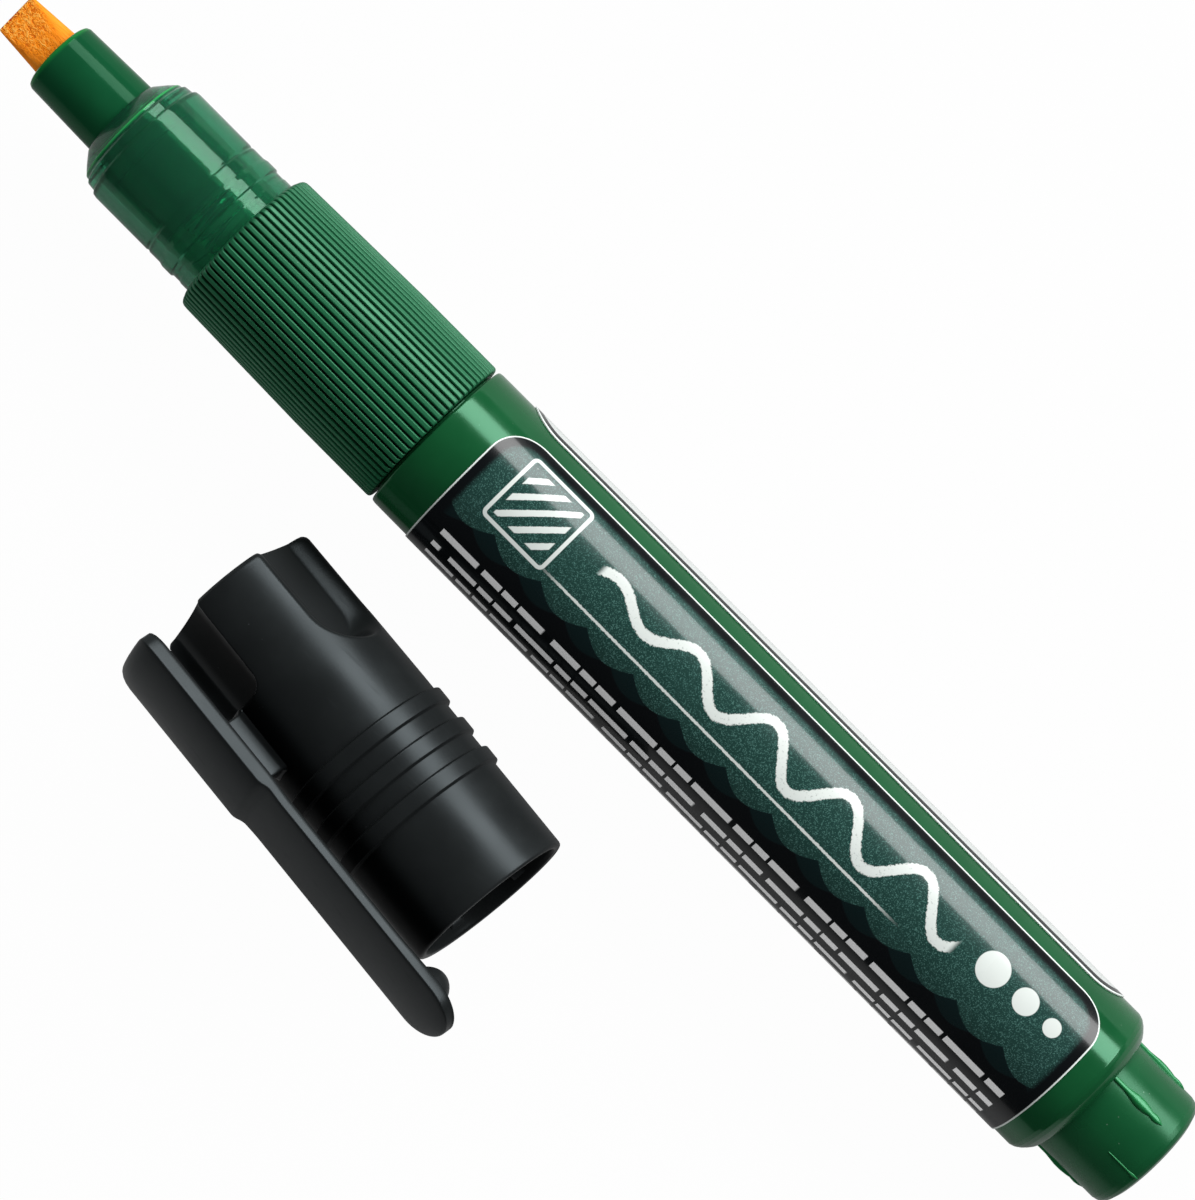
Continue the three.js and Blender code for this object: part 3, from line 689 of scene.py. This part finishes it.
def buildNib(shape):
    rings = []
    stations = [0, 0.03, 0.08, 0.15] + between(0.3, shape["bevel"] + 0.4, 32) + [shape["length"]]
    for u in stations:
        shrink = shape["ease"] * (1 - math.sqrt(max(0, 1 - (1 - min(u / 0.15, 1)) ** 2)))
        radius = shape["tipRadius"] + (shape["radius"] - shape["tipRadius"]) * min(u / shape["exposed"], 1)
        half = shape["tipHalf"] + (shape["radius"] - shape["tipHalf"]) * u / shape["bevel"]
        half, radius = half - shrink * 0.5, radius - shrink
        ring = []
        for i in range(shape["turns"]):
            turn = math.tau * i / shape["turns"]
            across, flat = radius * math.sin(turn), radius * math.cos(turn)
            flat /= (1 + abs(flat / half) ** 6) ** (1 / 6)
            ring.append(beside(onMarker, u, shape["roll"], across, flat))
        rings.append(ring)
    return skin("nibFibre", rings, sharpAngle=75)


dress(buildNib(nibShape), nibFibre, "marker", "fibre_nib", "nib")

# Nose piece with its flange and rear ring inside the clear housing
nose = {"bore": 2.36, "front": nibShape["exposed"], "frontRadius": 3.45, "radius": 3.61, "flange": 4.8,
        "core": 4.2, "housingFront": 12.35, "flangeFront": 14.9, "flangeBack": 16.3, "ringFront": 21.3,
        "end": 22.5}
noseProfile = [
    (nose["front"], nose["bore"]), (nose["front"], 3.1), (5.04, 3.33), (5.32, nose["frontRadius"]),
    (nose["housingFront"], nose["radius"]), (nose["flangeFront"], nose["radius"]),
    (nose["flangeFront"], nose["flange"]), (nose["flangeBack"], nose["flange"]),
    (nose["flangeBack"], nose["core"]), (nose["ringFront"], nose["core"]),
    (nose["ringFront"], nose["flange"]), (nose["end"], nose["flange"]), (nose["end"], nose["bore"]),
]
dress(lathe("noseHolder", noseProfile, 0.12), noseGreen, "marker", "green_plastic", "nib_holder")

# Clear front housing with its shoulder, bead and bore
housing = {"front": nose["housingFront"], "radius": 6.04, "bead": 6.15, "bore": 4.9, "boreFront": 14.85,
           "boreEnd": 34.1, "sleeve": 6.2, "tail": 48.4, "neck": 5.4, "noseGap": 3.72}
housingProfile = [
    (housing["front"], 3.85), (13.15, 4.8), (13.72, 5.38), (14.0, 5.42), (14.2, 5.66), (14.95, 5.74),
    (15.12, 5.98), (15.5, housing["radius"]), (21.35, housing["radius"]), (21.55, 5.94),
    (21.75, housing["radius"]), (22.9, housing["radius"]), (23.3, housing["bead"]), (24.3, housing["bead"]),
    (24.45, 6), (25.2, 6), (25.4, 6.06), (27, 6.06), (27.4, housing["sleeve"]),
    (housing["tail"], housing["sleeve"]), (housing["tail"], housing["neck"]),
    (housing["boreEnd"], housing["neck"]), (housing["boreEnd"], housing["bore"]),
    (housing["boreFront"], housing["bore"]), (housing["boreFront"], housing["noseGap"]),
    (housing["front"], housing["noseGap"]),
]
dress(lathe("frontHousing", housingProfile, 0.1), clearGreen, "marker", "clear_green_plastic",
      "front_housing")
print("front made")

# Grip sleeve: straight ribs with rounded crests round a plain bore
grip = {"front": 26.4, "end": 48.78, "bore": 6.35, "radius": 7.44, "ribs": 72, "depth": 0.27, "samples": 12}


def buildGrip(shape):
    outline = [
        (shape["front"], shape["bore"], 0), (shape["front"], 6.6, 0), (shape["front"] + 0.06, 6.7, 0.2),
        (26.55, 6.92, 0.7), (26.66, 7.06, 0.9), (26.85, 7.15, 1), (27.2, 7.18, 1), (33, 7.3, 1),
        (40.3, shape["radius"], 1), (48.45, shape["radius"], 1), (48.62, 7.42, 1), (48.72, 7.35, 0.9),
        (shape["end"], 7.25, 0.7), (shape["end"], 6.9, 0), (shape["end"], shape["bore"], 0),
    ]
    rings, depths = [], []
    count = shape["ribs"] * shape["samples"]
    for u, radius, share in outline:
        ring = []
        for i in range(count):
            phase = (i % shape["samples"]) / shape["samples"]
            groove = smooth((0.44 - abs(phase - 0.5) * 2) / 0.3)
            ring.append(onMarker(u, 360 * i / count, radius - share * shape["depth"] * groove))
            depths.append(groove * share)
        rings.append(ring)
    piece = skin("gripSleeve", rings, closed=True, sharpAngle=60)
    markPoints(piece, "grooveDepth", depths)
    return piece


dress(buildGrip(grip), gripGreen, "marker", "grip_plastic", "grip_sleeve")

# Barrel: neck, collar, tank and the open tail that the button works in
barrel = {"neckFront": 34.15, "neck": 5.3, "neckBore": 4.5, "sealFront": 40.25, "sealBack": 40.95,
          "sealFloor": 4.8, "collar": 48.8, "collarRadius": 6.45, "front": 49.1, "tank": 6.1,
          "tankEnd": 112.3, "tailBore": 6.4, "end": 125.2}
barrelProfile = [
    (barrel["neckFront"], barrel["neckBore"]), (barrel["neckFront"], 5.15), (34.3, barrel["neck"]),
    (barrel["sealFront"], barrel["neck"]), (barrel["sealFront"], barrel["sealFloor"]),
    (barrel["sealBack"], barrel["sealFloor"]), (barrel["sealBack"], barrel["neck"]),
    (barrel["collar"], barrel["neck"]), (barrel["collar"], barrel["collarRadius"]),
    (barrel["front"], barrel["collarRadius"]), (barrel["front"], 7.33), (49.22, 7.42), (49.5, 7.46),
    (label["taperFrom"], label["frontRadius"]), (label["taperTo"], label["tailRadius"]), (124.2, 7.46),
    (124.6, 7.18), (124.95, 6.82), (barrel["end"], 6.5), (barrel["end"], barrel["tailBore"]),
    (barrel["tankEnd"], barrel["tailBore"]), (barrel["tankEnd"], barrel["tank"]), (52.5, barrel["tank"]),
    (49.5, barrel["neckBore"]),
]
dress(lathe("barrelBody", barrelProfile, 0.35, 200), barrelGreen, "marker", "green_plastic", "barrel")


# Label: a thin wrap with round corners that leaves a narrow strip bare
def buildLabel(shape):
    span, corner = shape["to"] - shape["from"], shape["corner"]
    cornerSpan = math.degrees(corner / shape["frontRadius"])
    angles = [cornerSpan * (1 - math.cos(k / 14 * math.pi / 2)) for k in range(14)]
    angles += between(cornerSpan, span - cornerSpan, 150)
    angles += [span - at for at in reversed(angles[:14])]
    rings = []
    for at in angles:
        short = max(corner - math.radians(min(at, span - at)) * shape["frontRadius"], 0)
        inset = corner - math.sqrt(corner ** 2 - short ** 2)
        stations = between(shape["front"] + inset, shape["end"] - inset, 30)
        angle = shape["from"] + at
        outer = [onMarker(u, angle, labelRadius(u) + shape["lift"]) for u in stations]
        inner = [onMarker(u, angle, labelRadius(u) + shape["inside"]) for u in reversed(stations)]
        rings.append(outer + inner)
    return skin("wrapLabel", rings)


dress(buildLabel(label), labelPrint, "marker", "printed_film", "label")
print("barrel and label made")

# Pump button: a cup with a guide flange, a socket for the rod and four rails that swell near the end
button = {"end": 132.8, "radius": 5.86, "flange": 6.2, "front": 118.2, "inside": 131.6, "bore": 4.75,
          "socketFront": 121, "socketEnd": 130.4, "socket": 2.2, "socketBore": 1.18,
          "rails": (-24, -84, 96, 156), "railFoot": 5.7, "seamAngle": 22, "seamFoot": 5.5}
buttonProfile = [
    (button["end"], 0), (button["end"], 4.75), (132.55, 5.42), (132.2, 5.7), (131.7, 5.82),
    (119.9, button["radius"]), (119.6, button["flange"]), (118.4, button["flange"]), (button["front"], 5.95),
    (button["front"], button["bore"]), (button["inside"], button["bore"]),
    (button["inside"], button["socket"]), (button["socketFront"], button["socket"]),
    (button["socketFront"], button["socketBore"]), (button["socketEnd"], button["socketBore"]),
    (button["socketEnd"], 0),
]
# Each rail's section: place along the marker, half width and height
railSections = [
    (120, 0.24, 6.08), (126.6, 0.24, 6.08), (127.1, 0.32, 6.13), (127.7, 0.44, 6.2), (128.4, 0.46, 6.19),
    (129, 0.38, 6.12), (129.4, 0.26, 6.05), (129.9, 0.34, 6.08), (130.3, 0.26, 6.02), (130.7, 0.08, 5.88),
]
# Thin seam left by the mould near the button's end
seamSections = [
    (129.2, 0.04, 5.88), (130, 0.07, 5.9), (131.4, 0.08, 5.89), (131.9, 0.16, 5.9), (132.4, 0.05, 5.7),
]
railOutline = [(-1, 1), (-0.94, 0.3), (-0.8, 0.12), (-0.5, 0.05), (0, 0), (0.35, 0), (0.6, 0.06), (0.85, 0.3),
               (1, 1)]


def buildRail(angle, sections, foot):
    rings = [[beside(onMarker, u, angle, side * half, top - (top - foot) * drop)
              for side, drop in railOutline] for u, half, top in sections]
    rail = skin("rail", rings, sharpAngle=60)
    markPoints(rail, "rail", [1.0] * len(rail.data.vertices))
    return rail


buttonParts = [lathe("pumpButton", buttonProfile, 0.3)]
buttonParts.append(buildRail(button["seamAngle"], seamSections, button["seamFoot"]))
buttonParts += [buildRail(angle, railSections, button["railFoot"]) for angle in button["rails"]]
dress(joined("pumpButton", buttonParts), buttonGreen, "pump", "green_plastic", "pump_button")
print("button made")

# Cap: one moulding with rings, flutes, a flat underside, mouth lugs, web and clip
cap = {
    "length": 33.75, "mouthRadius": 7.49, "midRadius": 7.55, "endRadius": 7.42, "bore": 6.6,
    "narrowFrom": 16.5, "narrowBore": 4.45, "rings": (9.5, 12.6, 15.75), "ringRadius": 7.93,
    "ringHalf": 0.62, "ringFoot": 0.85, "fluteMiddle": 5.15, "fluteEdge": 5.5, "fluteHalf": 4.29,
    "flatFrom": 17.4, "clipAngle": 60, "turns": 480, "lugs": 6, "lugHalf": 0.75, "lugHeight": 0.45,
}
# The flutes' middle angle, front end, corner radius and wall width
flutes = ((-cap["clipAngle"], 22.6, 4.28, 1.55), (cap["clipAngle"], 24.7, 1.4, 0.45))
restSpan = cap["length"] - cap["rings"][2] - cap["ringHalf"]
cap["flat"] = cap["ringRadius"] - restSpan * math.tan(math.radians(capLie["tilt"]))
floorRise = cap["fluteEdge"] - cap["fluteMiddle"]
cap["floorRadius"] = (cap["fluteHalf"] ** 2 + floorRise ** 2) / (2 * floorRise)


def plainCapRadius(v):
    knots = [(0, 7.2), (0.06, 7.36), (0.16, 7.45), (0.32, cap["mouthRadius"]), (18, cap["midRadius"]),
             (33.1, cap["endRadius"]), (33.4, 7.36), (33.6, 7.22), (33.71, 7.1), (cap["length"], 6.95)]
    radius = knots[-1][1]
    for (start, low), (end, high) in zip(knots, knots[1:]):
        if start <= v <= end:
            radius = low + (high - low) * (v - start) / (end - start)
            break
    for centre in cap["rings"]:
        share = smooth((cap["ringFoot"] - abs(v - centre)) / (cap["ringFoot"] - cap["ringHalf"]))
        radius += (cap["ringRadius"] - cap["midRadius"]) * share
    return radius


def fluteDepth(v, across, start, corner):
    # How far a point lies inside a flute's outline
    pastX, pastA = start + corner - v, abs(across) - (cap["fluteHalf"] - corner)
    if pastX > 0 and pastA > 0:
        return corner - math.hypot(pastX, pastA)
    return min(v - start, cap["fluteHalf"] - abs(across))


def capRadius(v, angle):
    radius = plainCapRadius(v)
    cut = radius
    for centre, start, corner, wall in flutes:
        off = math.radians((angle - centre + 180) % 360 - 180)
        if abs(off) > 0.75:
            continue
        inside = fluteDepth(v, radius * math.sin(off), start, corner)
        if inside <= 0:
            continue
        floor = radius
        for step in range(4):
            across = floor * math.sin(off)
            sag = cap["floorRadius"] - math.sqrt(cap["floorRadius"] ** 2 - across ** 2)
            floor = (cap["fluteMiddle"] + sag) / math.cos(off)
        cut = min(cut, radius + (min(floor, radius) - radius) * smooth(inside / wall))
    off = math.radians((angle - 180 - capLie["roll"] + 180) % 360 - 180)
    if abs(off) < 1.2 and v > cap["flatFrom"]:
        level = cap["flat"] / math.cos(off)
        if level < radius:
            cut = min(cut, radius + (level - radius) * smooth((v - cap["flatFrom"]) / 0.25))
    return cut


def capSpots(piece):
    # Where its points lie in the cap's own axes
    back = capPlace.inverted()
    return [(back @ vertex.co) / mm for vertex in piece.data.vertices]


def buildCapShell():
    turns = cap["turns"]
    stations = [0, 0.06, 0.16, 0.32, 1, 3, 5, 7] + between(8.5, 16.75, 166) + between(17.1, 33.0, 107)
    stations += [33.1, 33.25, 33.4, 33.5, 33.6, 33.66, 33.71, cap["length"]]
    angles = [360 * i / turns for i in range(turns)]
    rings = [[onCap(v, angle, capRadius(v, angle)) for angle in angles] for v in stations]
    for share in (0.97, 0.9, 0.6, 0.3):
        radii = [capRadius(cap["length"], angle) * share for angle in angles]
        rings.append([onCap(cap["length"], angle, radius) for angle, radius in zip(angles, radii)])
    inside = [(0, 7.0), (0.03, 6.86), (0.1, 6.72), (0.25, 6.63), (0.5, cap["bore"]), (8, cap["bore"] - 0.02),
              (cap["narrowFrom"] - 0.2, cap["bore"] - 0.05), (cap["narrowFrom"], 6.3),
              (cap["narrowFrom"], cap["narrowBore"] + 0.2), (cap["narrowFrom"] + 0.2, cap["narrowBore"]),
              (31.9, cap["narrowBore"]), (32.1, 4.2), (32.1, 1)]
    inner = [[onCap(v, angle, radius) for angle in angles] for v, radius in reversed(inside)]
    shell = skin("capShell", inner + rings, sharpAngle=40)
    # Marks the wall behind the clip and the bore
    marks = []
    for spot in capSpots(shell):
        off = abs(math.degrees(math.atan2(spot.y, spot.z)) - cap["clipAngle"])
        inBore = spot.x < cap["narrowFrom"] and math.hypot(spot.y, spot.z) < cap["bore"] + 0.2
        marks.append(1.0 if inBore else smooth((38 - off) / 22))
    markPoints(shell, "nook", marks)
    return shell


def buildLug(angle):
    half, full = cap["lugHalf"], cap["lugHeight"]
    rings = []
    for v, drop in ((0.75, 0), (0.95, 0.2), (1.3, 0.42), (1.6, full), (6.6, full), (7.1, 0.42), (8, 0)):
        ring = []
        for across, share in ((-half, -0.3), (-half, 0.5), (0.13 - half, 0.9), (0.35 - half, 1),
                              (half - 0.35, 1), (half - 0.13, 0.9), (half, 0.5), (half, -0.3)):
            height = cap["bore"] - max(drop, 0.02) * share + (0.2 if share < 0 else 0)
            ring.append(beside(onCap, v, angle, across, height))
        rings.append(ring)
    return skin("lug", rings, sharpAngle=40)


# Clip: a long plate, thick and arched above, stepped down to a thinner plate with a round tip
clip = {"inside": 10.26, "tipInside": 10.14, "upperEdge": 11.65, "upperRise": 0.5, "upperHalf": 3.6,
        "lowerEdge": 11.25, "lowerRise": 0.3, "lowerHalf": 3.35, "top": 34, "stepFrom": 15.9, "stepTo": 18.8,
        "tip": -6.3, "webHalf": 1.0, "webFrom": 18.7, "webTo": 24.6}


def clipSection(half, edge, rise, inside):
    outline = [(-half, inside + 0.42), (-half, inside), (half, inside), (half, inside + 0.42)]
    outline += [(half * at, edge + rise * (1 - at * at)) for at in between(1, -1, 13)]
    return eased(outline, min(0.16, half * 0.3), True, 4)


def onClip(v, across, height):
    return beside(onCap, v, cap["clipAngle"], across, height)


def buildClip():
    shape, sections = clip, []
    for k in range(18):
        turn = k / 17 * math.pi / 2
        half = max(shape["lowerHalf"] * math.sin(turn), 0.25)
        v = shape["tip"] + shape["lowerHalf"] * (1 - math.cos(turn))
        edge = shape["lowerEdge"] - 0.3 * (1 - math.sin(turn))
        sections.append((v, half, edge, shape["lowerRise"] * math.sin(turn), shape["tipInside"]))
    for v in between(-2.4, 2, 6):
        inside = shape["tipInside"] + (shape["inside"] - shape["tipInside"]) * smooth((v + 2.4) / 4.4)
        sections.append((v, shape["lowerHalf"], shape["lowerEdge"], shape["lowerRise"], inside))
    for v in between(shape["stepFrom"], shape["stepTo"], 13):
        share = (v - shape["stepFrom"]) / (shape["stepTo"] - shape["stepFrom"])
        widen, thicken = share * 0.6 + smooth(share) * 0.4, smooth(share * 2.2 - 1.2)
        half = shape["lowerHalf"] + (shape["upperHalf"] - shape["lowerHalf"]) * widen
        edge = shape["lowerEdge"] + (shape["upperEdge"] - shape["lowerEdge"]) * thicken
        rise = shape["lowerRise"] + (shape["upperRise"] - shape["lowerRise"]) * thicken
        sections.append((v, half, edge, rise, shape["inside"]))
    # The upper end narrows to its round corners
    for v, narrow, low, flat in ((25, 0, 0, 0), (32.2, 0, 0, 0), (32.8, 0.08, 0.02, 0.02),
                                 (33.3, 0.26, 0.08, 0.07), (33.7, 0.56, 0.19, 0.14), (33.9, 0.85, 0.3, 0.2),
                                 (shape["top"], 1.3, 0.45, 0.3)):
        sections.append((v, shape["upperHalf"] - narrow, shape["upperEdge"] - low, shape["upperRise"] - flat,
                         shape["inside"]))
    rings = [[onClip(v, across, height) for across, height in clipSection(half, edge, rise, inside)]
             for v, half, edge, rise, inside in sections]
    plate = skin("clip", rings, sharpAngle=38)
    # Marks its inner edge
    lean = math.radians(cap["clipAngle"])
    heights = [spot.y * math.sin(lean) + spot.z * math.cos(lean) for spot in capSpots(plate)]
    markPoints(plate, "nook", [smooth((shape["inside"] + 0.4 - height) / 0.2) for height in heights])
    return plate


def buildClipBump():
    # A low dome under the clip's tip
    rings = []
    for k in range(15):
        turn = k / 14 * math.pi / 2
        ring = []
        for i in range(40):
            swing = math.tau * i / 40
            v = -2.6 + 2 * math.cos(turn) * math.cos(swing)
            across = 2.1 * math.cos(turn) * math.sin(swing)
            ring.append(onClip(v, across, clip["tipInside"] + 0.3 - 2.7 * math.sin(turn)))
        rings.append(ring)
    return skin("bump", rings, sharpAngle=60)


def buildWeb():
    outline = [(clip["webFrom"], -clip["webHalf"]), (clip["webTo"], -clip["webHalf"]),
               (clip["webTo"], clip["webHalf"]), (clip["webFrom"], clip["webHalf"])]
    rounded = eased(outline, 0.35, True, 5)
    middle = (clip["webFrom"] + clip["webTo"]) / 2
    rings = []
    for height, flare in ((7.0, 0.35), (7.5, 0.3), (7.65, 0.12), (7.9, 0), (10.1, 0), (10.35, 0.12),
                          (10.6, 0.3)):
        longer, wider = 1 + flare * 0.3, 1 + flare / clip["webHalf"]
        rings.append([onClip(middle + (v - middle) * longer, across * wider, height)
                      for v, across in rounded])
    return skin("web", rings, sharpAngle=45)


capParts = [buildCapShell(), buildClip(), buildClipBump(), buildWeb()]
capParts += [buildLug(30 + 360 / cap["lugs"] * i) for i in range(cap["lugs"])]
dress(joined("capShell", capParts), blackPlastic, "cap", "black_plastic", "cap_shell")
print("cap made")

# Springs: coils with closed end turns, each filling its spring's place in the frame
springs = {
    "pump_spring": {"name": "pumpSpring", "wire": 0.3, "turns": 9},
    "valve_spring": {"name": "valveSpring", "wire": 0.18, "turns": 5},
}
springSteps = 24
springSides = 10


def buildSpring(low, high, shape):
    wire, turns = shape["wire"], shape["turns"]
    front, rear = (tip.x - high.x) / mm + wire, (tip.x - low.x) / mm - wire
    radius = (high.z - low.z) / 2 / mm - wire
    endPitch = 2.1 * wire
    pitch = (rear - front - 2 * endPitch) / (turns - 2)
    rings = []
    for k in range(turns * springSteps + 1):
        turn = k / springSteps
        closed = min(turn, 1) + max(turn - turns + 1, 0)
        u = front + endPitch * closed + pitch * (turn - closed)
        ring = []
        for i in range(springSides):
            swing = math.tau * i / springSides
            ring.append(onMarker(u + wire * math.sin(swing), 360 * turn, radius + wire * math.cos(swing)))
        rings.append(ring)
    return skin(shape["name"], rings)


for node, shape in springs.items():
    low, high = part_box(node)
    coil = buildSpring(low, high, shape)
    dress(coil, springSteel, "marker", "spring_steel", node)
    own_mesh(coil)
print("springs made")

# Pieces whose solids already have their shape
carried = {
    "feed_pad": padFibre, "housing_seal": sealRubber, "valve_seat": palePlastic, "valve_plug": palePlastic,
    "valve_seal": sealRubber, "push_rod": palePlastic, "rod_guide": noseGreen, "rod_seal": sealRubber,
    "mixing_ball": ballSteel, "inner_cap": palePlastic,
}
for node, material in carried.items():
    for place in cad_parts[node].material_slots:
        place.material = material

# Floor: white to the camera and to reflections, and it keeps a faint shadow
floorLook = {"half": 3, "white": 0.98, "mirrored": 0.16, "paint": (0.42, 0.42, 0.42, 1)}
floorMesh = bpy.data.meshes.new("floor")
corners = [(x * floorLook["half"], y * floorLook["half"], 0) for x, y in ((-1, -1), (1, -1), (1, 1), (-1, 1))]
floorMesh.from_pydata(corners, [], [(0, 1, 2, 3)])
floor = addObject("floor", floorMesh)


def makeFloorWhite():
    material, tree, shader = newMaterial("floorWhite")
    tree.nodes.remove(shader)
    rays = tree.nodes.new("ShaderNodeLightPath")
    mirrored = calc(tree, "MAXIMUM", rays.outputs["Is Glossy Ray"], rays.outputs["Is Transmission Ray"])
    dimmed = calc(tree, "MULTIPLY", mirrored, floorLook["mirrored"])
    seen = calc(tree, "MAXIMUM", rays.outputs["Is Camera Ray"], dimmed)
    paint = tree.nodes.new("ShaderNodeBsdfDiffuse")
    paint.inputs["Color"].default_value = floorLook["paint"]
    glow = tree.nodes.new("ShaderNodeEmission")
    mixShaders(tree, calc(tree, "MULTIPLY", seen, floorLook["white"]), paint, glow)
    return material


floorMesh.materials.append(makeFloorWhite())

world = bpy.data.worlds.new("studio")
bpy.context.scene.world = world
world.use_nodes = True
world.node_tree.nodes["Background"].inputs["Color"].default_value = (0.9, 0.95, 1, 1)
world.node_tree.nodes["Background"].inputs["Strength"].default_value = 0.05

# Lamps: a long soft box on the side away from the cap and a faint fill, seen in no gloss, on the other side
lamps = {
    "key": {"angle": -56.5, "distance": 0.5, "size": (0.85, 0.24), "power": 6.8, "gloss": True},
    "fill": {"angle": 66, "distance": 0.6, "size": (0.9, 0.45), "power": 1.7, "gloss": False},
}
for name, lamp in lamps.items():
    data = bpy.data.lights.new(name, "AREA")
    data.shape = "RECTANGLE"
    data.size, data.size_y = lamp["size"]
    data.energy = lamp["power"]
    thing = addObject(name, data)
    thing.visible_glossy = lamp["gloss"]
    turn = math.radians(lamp["angle"])
    away = Vector((0, math.sin(turn), math.cos(turn)))
    thing.location = Vector((0, tip.y, tip.z)) + away * lamp["distance"]
    back, along = away, Vector((1, 0, 0))
    thing.rotation_euler = Matrix((along, back.cross(along), back)).transposed().to_euler()

# Camera: straight down, close to the marker's middle, turned so that the nib points to the upper left
view = {"lens": 131.3, "above": 361, "x": -1.7, "beside": 0.07, "turn": -134.81}
camera = bpy.data.cameras.new("photoCamera")
camera.lens = view["lens"]
camera.sensor_width = 36
cameraObject = addObject("photoCamera", camera)
cameraObject.location = (view["x"] * mm, tip.y + view["beside"] * mm, tip.z + view["above"] * mm)
cameraObject.rotation_euler = (0, 0, math.radians(view["turn"]))
bpy.context.scene.camera = cameraObject
bpy.context.scene.view_settings.view_transform = "Standard"

print("scene ready")
